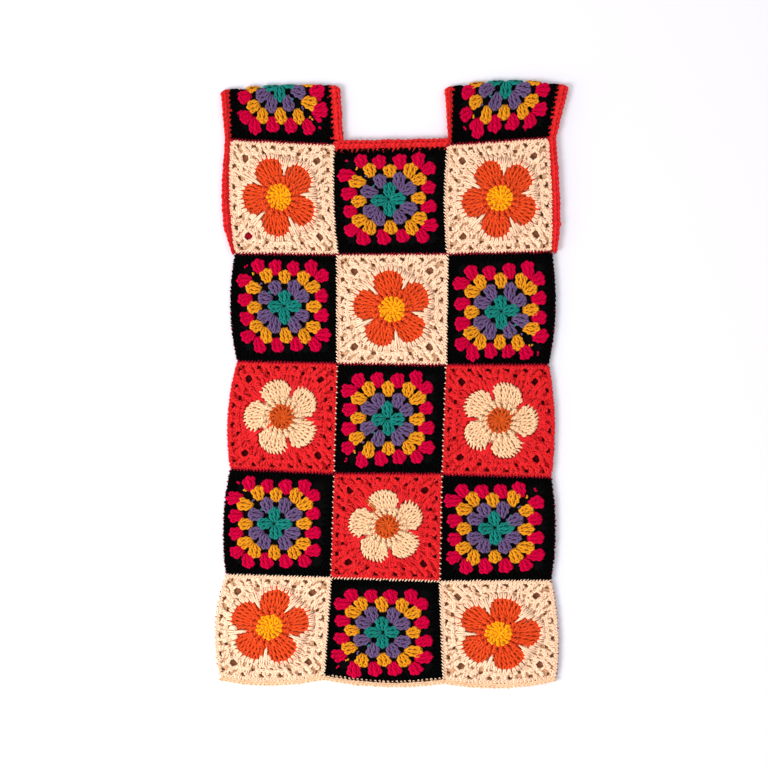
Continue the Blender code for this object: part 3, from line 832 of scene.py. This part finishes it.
def flower(dice, turn, offset, petal_colour, centre_colour, shorter, detail):
    """{colour: parts} for the petals, shorter by so many mm, the ring of short stitches and the centre."""
    petals, centre = [], []
    plain = {"crown": 0.8, "radius": 1.55, "rough": 0.5} if detail else FLAT
    for petal in range(PETALS):
        direction = turn + petal * PETAL_STEP
        valley = direction + PETAL_STEP / 2
        degrees = direction + POST_DEGREES
        reach = outline_of_flower(degrees, turn) - 1.6 - shorter + dice.uniform(-1.4, 1.4)
        foot = jitter(dice, polar(direction + POST_DEGREES * 0.95, 22.5), 0.4) + offset
        head = jitter(dice, polar(degrees, reach), 0.8) + offset
        path, lift = (PETAL_POST, 0.8) if detail else (PLAIN_POST, -0.4)
        petals.append(worked(path, foot, head, 4.0, 7.4, lift=lift, **plain))
        if detail:
            for way, inner, outer, *sizes in (
                (direction, 17.0, 47.0 - shorter, 21.0, 35.0, 2.3),
                (valley, 18.0, 35.0 - shorter / 2, 18.0, 9.0, 2.1),
            ):
                petals.append(padding(polar(way, inner) + offset, polar(way, outer) + offset, *sizes))
    if detail and shorter:
        around = evenly(66, turn)
        reach = outline_of_flower(around, turn) - shorter
        around, reach = around[reach > 33], reach[reach > 33]
        foot = jitter(dice, polar(around, reach - 4.5), 0.5) + offset
        head = jitter(dice, polar(around + 5.5, reach + 2.4), 0.8) + offset
        petals.append(worked(BAR, foot, head, lift=1.6, radius=1.25))
    path, lift = (POST, 2.3) if detail else (PLAIN_POST, -0.2)
    ring = (path, 18, 14.4, 24.4, 4.8, 8.4)
    petals.append(ring_of(dice, turn, offset, *ring, lean=5, uneven=0.8, lift=lift, **plain))
    if detail:
        petals.append(disc(offset, 23.5, 40.0, 2.9))
        centre.append(disc(offset, 15.5, 27.0, 5.1))
        for ring in CENTRE_ROUNDS[centre_colour]:
            centre.append(ring_of(dice, turn, offset, *ring, lean=8, uneven=0.9, lift=2.6, **plain))
    else:
        centre.append(ring_of(dice, turn, offset, PLAIN_POST, 14, 1.5, 14.5, 1.0, 7.0, **FLAT))
    return {petal_colour: petals, centre_colour: centre}


# %% The ground round the flower
def petal_loops(dice, turn, offset, over):
    """The loops over the petals' edges, and a long spike and two loops between each two petals."""
    loops = evenly(58, turn)
    reach = outline_of_flower(loops, turn)
    loops, reach = loops[reach > 37], reach[reach > 37]
    foot = jitter(dice, polar(loops, reach + 3.5), 0.5) + offset
    head = jitter(dice, polar(loops, reach - 3.6), 0.8) + offset
    parts = [worked(ARCH, foot, head, 4.8, 4.2, lift=over, radius=1.25)]
    valleys = evenly(PETALS, turn)
    foot = polar(valleys, 51.0) + offset
    head = polar(valleys, 27.5 + dice.uniform(-2.0, 1.5, PETALS)) + offset
    parts.append(worked(SPIKE, foot, head, 6.4, 2.2, lift=over + 0.4, radius=1.3))
    for lean in (-7.0, 7.0):
        foot = polar(valleys + lean, 50.0) + offset
        head = polar(valleys + lean * 0.9, 41.0 + dice.uniform(-1.5, 1.5, PETALS)) + offset
        parts.append(worked(ARCH, foot, head, 5.4, 4.6, lift=over, radius=1.35))
    return parts


def ground(dice, turn, offset, over, detail):
    """Parts for the ground round a flower: three rounds of posts and the row at the edge.

    In detail there are also loops over the petals' edges, over high, a chain line between the last two
    rounds, and the bars at the corner holes.
    """
    holes = HOLES["flower" if detail else "flower_behind"]
    head = round_line(*FIRST_ROUND, (np.arange(60) + 0.5) / 60)
    degrees = np.degrees(np.arctan2(*(head - offset).T[::-1]))
    foot = polar(degrees, outline_of_flower(degrees, turn) + 0.5) + offset
    out = np.linalg.norm(head, axis=1) - np.linalg.norm(foot, axis=1)
    rows = [(POST, foot[out > 3.5], head[out > 3.5], 6.4)]
    rows.append((SHORT_POST, *round_of_posts(dice, *SECOND_ROUND, 64, turn=0.005), 6.4))
    foot, head = round_of_posts(dice, *LAST_ROUND, 80, turn=-0.005)
    rows.append((POST, foot, pulled_in(head), 6.6))
    if not detail:
        parts = []
        for _, foot, head, width in rows:
            ends = beside_middles(foot, head, holes)
            parts.append(worked(PLAIN_POST, *ends, width, width, holes=holes, **FLAT))
        return parts + edge_row(dice, 20, detail)
    # The strands have their own thickness, so they part a little wider than the hole
    wide_holes = [(x, y, radius + 0.7) for x, y, radius in holes] + SLIT_HOLES
    parts = petal_loops(dice, turn, offset, over)
    for path, foot, head, width in rows:
        by_turns = np.where(np.arange(len(head)) % 2, 1.5, -1.5)[:, None]
        head = head + sideways(unit(head - foot)) * by_turns
        foot, head = beside_middles(jitter(dice, foot, 0.5), jitter(dice, head, 1.0), holes)
        looks = {"radius": YARN_RADIUS * dice.uniform(0.95, 1.15, len(foot)), "rough": 0.4}
        looks["lift"] = dice.uniform(-0.4, 0.6, len(foot))
        parts.append(worked(path, foot, head, width * 0.9, width, holes=wide_holes, **looks))
    shares = (np.arange(58) + dice.uniform(0.3, 0.7, 58)) / 58
    foot, head = (round_line(*CHAIN_ROUND, shares + half) for half in (-0.008, 0.008))
    away = np.min([np.hypot(*(foot - (x, y)).T) - radius for x, y, radius in holes], axis=0)
    foot, head = jitter(dice, foot[away > 3.5], 0.8), jitter(dice, head[away > 3.5], 0.8)
    parts.append(worked(CHAIN, foot, head, 4.6, 5.0, lift=0.9, radius=1.2, holes=wide_holes))
    for x, y, _ in holes[:4]:
        out = unit(np.array([[x, y]]))
        middle = (x, y) + out * BARS_OUT
        half = sideways(out) * 4.2
        foot, head = jitter(dice, middle - half, 0.4), jitter(dice, middle + half, 0.4)
        parts.append(worked(BAR, foot, head, lift=1.2, radius=1.25))
    return parts + edge_row(dice, 29, detail)


def edge_row(dice, per_side, detail):
    """The row of short stitches along each side, out to the seam, each leaning a little."""
    along = ((np.arange(per_side) + 0.5) / per_side * 2 - 1) * (SQUARE / 2 - 2.0)
    foot = four_sides(np.stack([-along - 1.2, np.where(near_slit(along), 65.9, 64.0)], axis=1))
    head = four_sides(np.stack([-along + 1.2, np.full(per_side, 69.4)], axis=1))
    foot, head = jitter(dice, foot, 0.5), jitter(dice, head, 0.35)
    style = {"radius": 1.25} if detail else FLAT
    return [worked(PLAIN_POST if detail else BAR, foot, head, 4.2, 4.8, lift=0.2, **style)]


def flower_square(dice, kind, turn, offset=(0.0, 0.0), detail=True):
    """{colour: parts} for one flower square, on a cream or a red ground."""
    offset = np.array(offset)
    colours = ("orange", "golden") if kind == "cream" else ("ecru", "rust")
    over, shorter = (2.6, 0.0) if kind == "cream" else (0.3, 6.0)
    made = flower(dice, turn, offset, *colours, shorter, detail)
    made[kind] = ground(dice, turn, offset, over, detail)
    return made


# %% [markdown]
# ## The thin base of each square
# Under its top strands crochet is a web of yarn with real holes. A thin sheet with the same holes
# stands for that web and keeps light from passing between the stitches. Its colour is painted shade,
# a darker copy of the yarn's, and darker still on the back panel, which shows through the front's
# holes. It is a grid whose lines run beside the holes. Cells inside a hole are left out, and the
# corners near its rim move onto it.

# %% Base sheets
GRID_LINES = {
    "flower_base": (0, 10, 15, 19.8, 26.2, 35.5, 40.5, 43, 48.5, 54, 58.2, 61.2, 65.2, 69.85),
    "flower_behind": (0, 6.7, 13.3, 20, 26.6, 33.4, 37.2, 41, 45, 50.5, 57, 63.5, 69.85),
    "granny": (0, 4, 10.6, 17.5, 24.4, 31, 38, 45, 52, 58, 64, 69.85),
    "granny_behind": (0, 6, 11.8, 17.5, 24.4, 32, 40, 48, 56, 63, 69.85),
    "granny_folded": (0, 2.5, 5, 10.6, 17.5, 24.4, 31, 38, 45, 52, 58, 64, 69.85),
}
RIM_REACH = 2.0  # a grid point this near a hole's rim moves onto it


def base_grid(form):
    """Points (count, 3) and quads of a flat square grid with the holes of a granny or a flower square."""
    half = np.array(GRID_LINES[form], float)
    line = np.concatenate([-half[:0:-1], half])
    a, b = np.meshgrid(line, line, indexing="ij")
    middle_a = (a[:-1, :-1] + a[1:, 1:]) / 2
    middle_b = (b[:-1, :-1] + b[1:, 1:]) / 2
    kept = np.ones(middle_a.shape, bool)
    for x, y, radius in HOLES[form]:
        kept &= np.hypot(middle_a - x, middle_b - y) > radius
        far = np.hypot(a - x, b - y)
        near = (np.abs(far - radius) < RIM_REACH) & (far > 1)
        shift = np.where(near, radius / np.maximum(far, 1), 1.0)
        a, b = x + (a - x) * shift, y + (b - y) * shift
    index = np.arange(a.size).reshape(a.shape)
    quads = np.stack([index[:-1, :-1], index[1:, :-1], index[1:, 1:], index[:-1, 1:]], axis=-1)[kept]
    used, quads = np.unique(quads, return_inverse=True)
    points = np.stack([a.ravel(), b.ravel(), np.full(a.size, BASE_TOP)], axis=1)[used]
    return points, quads.reshape(-1, 4)


def make_base(where, form, lay, material, turned=False):
    """The base sheet of a square, laid in place of its node, with its thickness from Solidify."""
    points, quads = base_grid(form)
    spots = points[quads.ravel(), :2] / SQUARE + 0.5
    obj = make_piece(where + "_base", lay(points), [quads], [spots], material, where, turned)
    solid = obj.modifiers.new("thickness", "SOLIDIFY")
    solid.thickness = BASE_TOP * 0.95 * MM
    solid.offset = -1.0
    return obj


# %% [markdown]
# ## Making the panels
# One loop makes the squares of both panels. A square's yarns are one object for each colour, as each
# colour is one length of yarn on the real square. The hidden back squares have the same stitches,
# with fewer faces.

# %% Flowers' turns and motifs' places
PETAL_TURNS = {(0, 0): 42, (0, 2): 44, (1, 1): 27, (2, 0): 34, (2, 2): -2, (3, 1): 26, (4, 0): 12, (4, 2): 1}
# The corner at which each granny square's rounds begin, as a direction in degrees
JOINS = {
    (0, 1): 135, (1, 0): 135, (1, 2): -45, (2, 1): -135, (3, 0): 135, (3, 2): 45, (4, 1): -135,
    "left": -45, "right": -135,
}
# How far each motif's middle lies from its square's, in mm
MOTIF_OFFSETS = {
    (0, 0): (-2.0, 1.3), (0, 1): (0.0, 2.6), (0, 2): (1.6, -1.6), (1, 0): (0.0, 2.5), (1, 2): (0.0, -3.2),
    (2, 1): (-2.5, 0.0), (3, 0): (-4.3, 0.0), (3, 2): (-3.9, 0.0),
    (4, 0): (-2.2, 2.6), (4, 1): (-2.6, -2.4), (4, 2): (-1.2, -1.8),
}
# Loose ends of yarn: colour, direction in degrees, reach at both ends in mm, strands
TAILS = {
    (1, 1): ("orange", 135.0, 34.0, 48.0, 2),
    (2, 0): ("orange", 219.0, 12.0, 24.0, 5),
    (2, 2): ("rust", 30.0, 14.0, 33.0, 2),
    (3, 1): ("rust", 128.0, 15.0, 46.0, 2),
}


def add_loose_ends(made, spot, offset):
    """The loose ends of a square's yarns, and the red edging behind that shows in one corner hole."""
    if spot in TAILS:
        colour, degrees, inner, outer, count = TAILS[spot]
        spread = polar(degrees + 90, (np.arange(count) - (count - 1) / 2) * 1.9) + np.array(offset)
        foot, head = (polar(degrees, np.full(count, reach)) + spread for reach in (inner, outer))
        tails = worked(BAR, foot, head, lift=3.6, bow=1.2, rough=0.7, radius=0.95)
        made.setdefault(colour, []).append(tails)
    if spot == (0, 0):
        made["wine"] = [knots(np.array([-48.5, -48.5]))]


def knots(middle, count=12):
    """Strands in all directions on a round patch, the nth at 5 * sqrt(n / count) mm, turned 137.5 degrees."""
    order = np.arange(count) + 0.5
    middle = polar(137.5 * order, 5.0 * np.sqrt(order / count)) + middle
    half = polar(hand.uniform(0, 180, count), 4.0)
    return worked(BAR, middle - half, middle + half, lift=1.2 * (1 - order / count) - 2.6, radius=1.1)


def add_square(where, made, form, inside, lay, turned=False):
    """A square's base, and one object for each colour of its yarns."""
    base = make_base(where, form, lay, SHADED_INSIDES[inside], turned)
    pieces = [
        make_yarn(f"{where}_{colour}_yarn", parts, lay, colour, turned=turned)
        for colour, parts in made.items()
    ]


# %% The two panels
for panel in ("back", "front"):
    in_front = panel == "front"
    behind = "" if in_front else "_behind"
    for row, kinds in enumerate(MOTIFS):
        for column, kind in enumerate(kinds):
            dice = np.random.default_rng(100 * row + 10 * column + in_front)
            offset = MOTIF_OFFSETS.get((row, column), (0.0, 0.0))
            if kind == "granny":
                made = granny_square(dice, offset, JOINS[row, column], in_front)
            else:
                made = flower_square(dice, kind, PETAL_TURNS[row, column], offset, in_front)
            if in_front:
                add_loose_ends(made, (row, column), offset)
            form = "granny" + behind if kind == "granny" else "flower" + (behind or "_base")
            lay = lay_square(square_place(row, column), in_front)
            where = f"{panel}_r{row + 1}_{COLUMNS[column]}"
            add_square(where, made, form, kind + behind, lay, turned=not in_front)

# %% [markdown]
# ## Shoulder squares
# Two granny squares are folded in half over the shoulders, so the front shows the lower half of each
# and the fold cuts through the first round. The same square is laid by a function that goes up the
# front, round the fold and down the back.

# %% Folded squares
for side, seed in (("left", 7), ("right", 8)):
    half_place = shoulder_place(side)
    lay = lay_folded(lambda a, v, place=half_place: place(share_of(a), v), SQUARE / 2 - FOLD_BAND + GAP / 2)
    made = granny_square(np.random.default_rng(seed), join=JOINS[side])
    add_square("shoulder_" + side, made, "granny_folded", "granny", lay)
print("with shoulders:", added_triangles, "triangles before modifiers")

# %% [markdown]
# ## Edgings
# The red edging is two rows: short stitches worked into the squares' edges, whose feet show as teeth,
# and a row of thick chains along the rim. The cream hem is the same, thinner. Each is laid along a
# strip between two lines, and those of the armholes and straps go round the shoulder fold.

# %% Widths of the edgings
# Along the square's side and then the shoulder's, from the bottom up
ARMHOLE_WIDTHS = {
    "left": ((4.0, 10.5, 10.2, 8.2), (7.2, 9.2, 10.6)),
    "right": ((7.0, 10.0, 10.0, 9.2), (9.4, 11.4, 12.6)),
}
# Shares of the way up the strap, and the widths there
STRAP_EDGING = {
    "left": ((0.076, 0.53, 1.0), (11.8, 12.0, 12.0)),
    "right": ((0.008, 0.11, 0.55, 1.0), (4.2, 4.4, 7.2, 10.6)),
}
NECK_BAR_TOP = np.array([(-73.9, 316.6), (73.7, 319.7)])
HEM_WIDTHS = np.array([5.6, 6.6, 6.6, 6.6])
STRIP = 10.0  # the width that an edging's stitches are worked out for, before they are fitted
EDGING_PITCH = 6.6
SIDE_STEPS = 4


class Strip:
    """The area between two lines of points, with a place for each share across and mm along."""

    def __init__(self, inner, outer):
        self.lines = (np.array(inner), np.array(outer))
        self.run = run_along((self.lines[0] + self.lines[1]) / 2)
        self.length = self.run[-1]

    def at(self, across, along):
        ends = [line_at(line, along, self.run) for line in self.lines]
        beyond = np.where(along < 0, along, np.maximum(along - self.length, 0.0))
        first, last = unit(np.diff(self.lines[0], axis=0))[[0, -1]]
        way = np.where((along < 0)[..., None], first, last)
        return between(*ends, across[..., None]) + way * beyond[..., None]


def edging_parts(dice, start, end, pitch, mirrored, teeth=2.0, radius=1.6):
    """The core, the short stitches and the chains of an edging from start to end along its strip."""
    count = max(2, round((end - start) / pitch))
    step = (end - start) / count
    along = start + (np.arange(count) + 0.5) * step
    foot = np.stack([-teeth * dice.uniform(0.2, 1.5, count), along], axis=1)
    head = np.stack([np.full(count, STRIP * 0.6), along + 0.25 * step], axis=1)
    foot, head = jitter(dice, foot, 0.5), jitter(dice, head, 0.5)
    thick = radius * dice.uniform(0.9, 1.1, count)
    short = worked(POST, foot, head, step * 0.75, step * 1.1, radius=thick * 0.9)
    foot = np.stack([np.full(count, STRIP * 0.66), along], axis=1)
    head = foot + (0.0, -step if mirrored else step)
    foot, head = jitter(dice, foot, 0.6), jitter(dice, head, 0.6)
    chain = worked(CHAIN, foot, head, STRIP * 0.66, STRIP * 0.74, lift=0.7, radius=thick * 1.15)
    line = np.linspace(start + 1, end - 1, 2 * count)
    line = np.stack([np.full(len(line), STRIP * 0.5), line, np.full(len(line), BASE_TOP + 0.6)], axis=1)
    core = tubes(line[None], np.full((1, len(line)), STRIP * 0.47), np.full((1, len(line)), 2.0), 8)
    return [core, short, chain]


# %% Armhole and strap edgings
ROUNDING = 14.0  # mm of an edging before the fold where its outer corner is drawn down
DROP = 4.5  # how far it is drawn down


def folded_edging(name, line, widths, sign, seed):
    """An edging up the front, round the shoulder fold at its last point, and down the back.

    It lies half a gap off the line, towards sign, and reaches the widths beyond it.
    """
    inner = line + (sign * GAP / 2, 0.0)
    strip = Strip(inner, inner + np.stack([sign * np.array(widths), np.zeros(len(widths))], axis=1))
    reach = strip.length
    whole = reach + FOLD_BAND

    def rounded(a, v):
        """The strip with its outer corner at the fold drawn down, by drop * across^2 * nearness^2."""
        nearness = np.clip(1 - (1 - v) * reach / ROUNDING, 0, 1)
        drop = DROP * np.clip(a / STRIP, 0, 1.2) ** 2 * nearness**2
        return strip.at(a / STRIP, v * reach) - np.stack([0 * drop, drop], axis=-1)

    parts = edging_parts(np.random.default_rng(seed), -whole, whole, EDGING_PITCH, sign > 0)
    lay = lay_folded(rounded, reach)
    make_yarn(name + "_yarn", parts, lay, "red_edging", name, sign < 0)


for side, column, edge, sign in (("left", 0, 0.0, -1), ("right", 2, 1.0, 1)):
    on_square, on_shoulder = ARMHOLE_WIDTHS[side]
    line = np.concatenate([
        square_place(0, column)(edge, np.arange(SIDE_STEPS) / SIDE_STEPS),
        shoulder_place(side)(edge, np.linspace(0, 1, len(on_shoulder))),
    ])
    folded_edging("armhole_edging_" + side, line, on_square + on_shoulder, sign, 20 + column)
for side, edge, sign in (("left", 1.0, 1), ("right", 0.0, -1)):
    shares, widths = STRAP_EDGING[side]
    line = shoulder_place(side)(edge, np.array(shares))
    folded_edging("neck_edging_" + side, line, widths, sign, 30 + sign)


# %% Neck bar and hem
def flat_edging(name, inner, outer, colour, pitch, seed, radius, teeth, arches=False):
    """The same edging laid once on the front and once on the back.

    Arches are the small peaks of its first row, which stand out over the black square in the middle.
    """
    strip = Strip(inner, outer)
    upwards = outer[0][1] > inner[0][1]
    for panel, set_on in (("front", on_front), ("back", on_back)):
        in_front = panel == "front"
        dice = np.random.default_rng(seed + in_front)
        thick = radius if in_front else radius * 0.6
        parts = edging_parts(dice, 0.0, strip.length, pitch, upwards, teeth, thick)
        if arches and in_front:
            along = np.arange(0.335 * strip.length, 0.665 * strip.length, 5.6)
            foot = np.stack([0 * along, along], axis=1)
            head = jitter(dice, foot - (4.0, 0.0), 0.8)
            parts.append(worked(ARCH, foot, head, 4.6, 1.6, lift=1.4, radius=0.85))
        where = f"{name}_{panel}"

        def lay(local, set_on=set_on):
            return set_on(strip.at(local[..., 0] / STRIP, local[..., 1]), local[..., 2])

        make_yarn(where + "_yarn", parts, lay, colour, where, upwards == in_front)


shares = np.linspace(0, 1, 9)
neck_line = square_place(0, 1)(between(GAP / SQUARE, 1 - GAP / SQUARE, shares), 1.0) + (0.0, GAP / 2)
bar_top = between(*NECK_BAR_TOP, shares[:, None]) - MIDDLE
flat_edging("neck_edging", neck_line, bar_top, "red_edging", EDGING_PITCH, 40, 1.5, teeth=3.0)
hem_shares = [np.arange(column > 0, SIDE_STEPS + 1) / SIDE_STEPS for column in range(3)]
hem_line = np.concatenate([square_place(4, column)(hem_shares[column], 0.0) for column in range(3)])
hem_line = hem_line - (0.0, GAP / 2)
order = np.arange(len(hem_line))
hem_width = HEM_WIDTHS[np.minimum(np.minimum(order, order[::-1]), len(HEM_WIDTHS) - 1)]
hem_rim = hem_line - np.stack([0 * hem_width, hem_width], axis=1)
flat_edging("hem_edging", hem_line, hem_rim, "peach", 5.6, 50, 1.2, teeth=1.5, arches=True)

# %% [markdown]
# ## Sewing
# The squares are joined by whip stitches, short slanting bars of yarn over the two edges. Across the
# dress they are wine red, apart from the lowest seam, which is cream. So are the seams down it, which
# show as small dots in the two rows with red squares. Down the dress's sides wine red stitches go
# round the edge, from the front panel to the back one. A bar is a short arched tube, and one array
# holds all the bars of a seam.

# %% Whip stitches
def spaced(line, pitch):
    """Places about a pitch apart along a line, evenly, and the places 1 mm further."""
    run = run_along(line)
    count = int(run[-1] / pitch)
    at = (np.arange(count) + 0.5) * run[-1] / count
    return line_at(line, at, run), line_at(line, at + 1, run)


def whips(dice, line, reach=1.9, slant=1.3, radius=0.85, lift=2.4, pitch=4.1):
    """Bars across a line, a pitch apart, each slanting a little along it."""
    middle, further = spaced(line, pitch)
    way = unit(further - middle + 1e-9)
    half = way * slant - sideways(way) * reach
    foot, head = jitter(dice, middle - half, 0.5), jitter(dice, middle + half, 0.5)
    return worked(BAR, foot, head, lift=lift, radius=radius * dice.uniform(0.8, 1.15, len(middle)))


def on_seams(points):
    """The points of whip stitches, over the front's soft ridges."""
    return on_front(points[:, :2], points[:, 2])


DOTS = {"reach": 0.9, "slant": 0.5, "radius": 0.7, "lift": 3.1, "pitch": 6.6}  # small stitches beside red
share = np.linspace(0, 1, 12)
across = [[square_place(row, column)(share, 1.0) for column in range(3)] for row in range(5)]
down = [[square_place(row, column)(1.0, share) for column in (0, 1)] for row in range(5)]
wine_seams = [across[0][0], across[0][2], *across[1], *across[2], *across[3]]
sewing = []
for name, colour, slot, lines, style in (
    ("cross_seams", "wine", "edging_yarn", wine_seams, {}),
    ("low_seam", "cream", "cream_yarn", across[4], {"reach": 1.4, "radius": 0.8}),
    ("upright_seams_cream", "cream", "cream_yarn", down[0] + down[1] + down[4], {"reach": 1.6, "slant": 1.7}),
    ("upright_seams_red", "cream", "cream_yarn", down[2] + down[3], DOTS),
):
    dice = np.random.default_rng(60 + len(sewing))
    bars = [whips(dice, line, **style) for line in lines]
    sewing.append(make_yarn(name + "_whip_stitches", bars, on_seams, colour))

# %% Side seams
# A stitch round the side, from the front to the back: out past the edge, along it, height off the table
ROUND_THE_SIDE = np.array([
    (-3.2, 1.2, 5.6), (-1.5, 0.8, 6.4), (0.0, 0.2, 5.0),
    (0.0, -0.3, 2.4), (-1.5, -0.8, 0.95), (-3.0, -1.2, 0.9),
])


def side_whips(dice, line, sign, bulge):
    """C-shaped stitches round the side, standing out past the edge by bulge more, towards sign."""
    middle = spaced(line, 6.6)[0]
    out, along, z = ROUND_THE_SIDE.T
    lines = np.stack(
        np.broadcast_arrays(middle[:, :1] + (out + bulge) * sign, middle[:, 1:] + along, z), axis=-1
    )
    lines[..., :2] += dice.uniform(-0.5, 0.5, (len(middle), 1, 2))
    thick = np.full(lines.shape[:2], 0.85)
    return tubes(lines, thick, thick, SIDES)


dice = np.random.default_rng(70)
sides = []
for row, left_bulge, right_bulge in ((1, 0.0, 0.0), (2, 0.0, 0.0), (3, 0.6, 0.9), (4, 0.2, 0.9)):
    sides.append(side_whips(dice, square_place(row, 0)(0.0, share), -1, left_bulge))
    sides.append(side_whips(dice, square_place(row, 2)(1.0, share), 1, right_bulge))
sewing.append(make_yarn("side_seams_whip_stitches", sides, lambda points: points, "wine"))
print("sewing pieces:", len(sewing), "triangles in all:", added_triangles)

# %% [markdown]
# ## The cloth
# Each square is a sheet of cloth, crocheted 140 by 140 mm and laid flat, or folded at a shoulder.

# %% [markdown]
# ## Floor, light and camera
# The dress lies on a white surface and is seen from straight above. A broad soft light from the
# lower left and a lower one beside it give the stitches their small shadows. A faint one from the
# upper right and the pale surroundings fill them.

# %% The floor
FLOOR_REACH = 15.0
floor_mesh = bpy.data.meshes.new("floor")
corner_points = [(x * FLOOR_REACH, y * FLOOR_REACH, 0.0) for x, y in ((-1, -1), (1, -1), (1, 1), (-1, 1))]
floor_mesh.from_pydata(corner_points, [], [(0, 1, 2, 3)])
floor = bpy.data.objects.new("floor", floor_mesh)
bpy.context.scene.collection.objects.link(floor)
white_card = bpy.data.materials.new("white_card")
white_card.use_nodes = True
card = white_card.node_tree.nodes["Principled BSDF"]
card.inputs["Base Color"].default_value = linear("#E5E4E9")  # a plain matt white with a trace of violet
card.inputs["Roughness"].default_value = 0.9
floor.data.materials.append(white_card)

# %% The light
world = bpy.data.worlds.new("studio")
bpy.context.scene.world = world
world.use_nodes = True
world.node_tree.nodes["Background"].inputs["Color"].default_value = (0.97, 0.96, 1.0, 1.0)
world.node_tree.nodes["Background"].inputs["Strength"].default_value = 0.8


def soft_light(name, place, size, watts):
    """A square area light that faces the middle of the dress."""
    light = bpy.data.lights.new(name, "AREA")
    light.size = size
    light.energy = watts
    obj = bpy.data.objects.new(name, light)
    obj.location = place
    aim = -np.array(place)
    obj.rotation_euler = (math.acos(aim[2] / np.linalg.norm(aim)) - math.pi, 0.0, math.atan2(aim[0], -aim[1]))
    bpy.context.scene.collection.objects.link(obj)


soft_light("soft_box_left", (-1.7, -0.9, 2.0), 1.2, 57.0)
soft_light("soft_box_low", (-2.4, -0.8, 0.6), 1.0, 22.0)
soft_light("soft_box_right", (1.4, 1.6, 2.2), 1.6, 10.0)

# %% The camera
PIXEL = 1.3 * MM  # the size on the dress of one pixel of a frame 768 wide
VIEW_WIDTH = 768 * PIXEL
LENS = 90.0
CLOTH_TOP = 6 * MM
PICTURE_MIDDLE = (-0.01033, -0.00035)  # the dress lies a little to the right of the picture's middle
camera_data = bpy.data.cameras.new("camera")
camera_data.lens = LENS
camera_data.sensor_width = 36.0
camera_data.clip_end = 50.0
camera = bpy.data.objects.new("camera", camera_data)
camera.location = (*PICTURE_MIDDLE, CLOTH_TOP + VIEW_WIDTH * LENS / camera_data.sensor_width)
bpy.context.scene.collection.objects.link(camera)
bpy.context.scene.camera = camera
bpy.context.scene.view_settings.view_transform = "Standard"
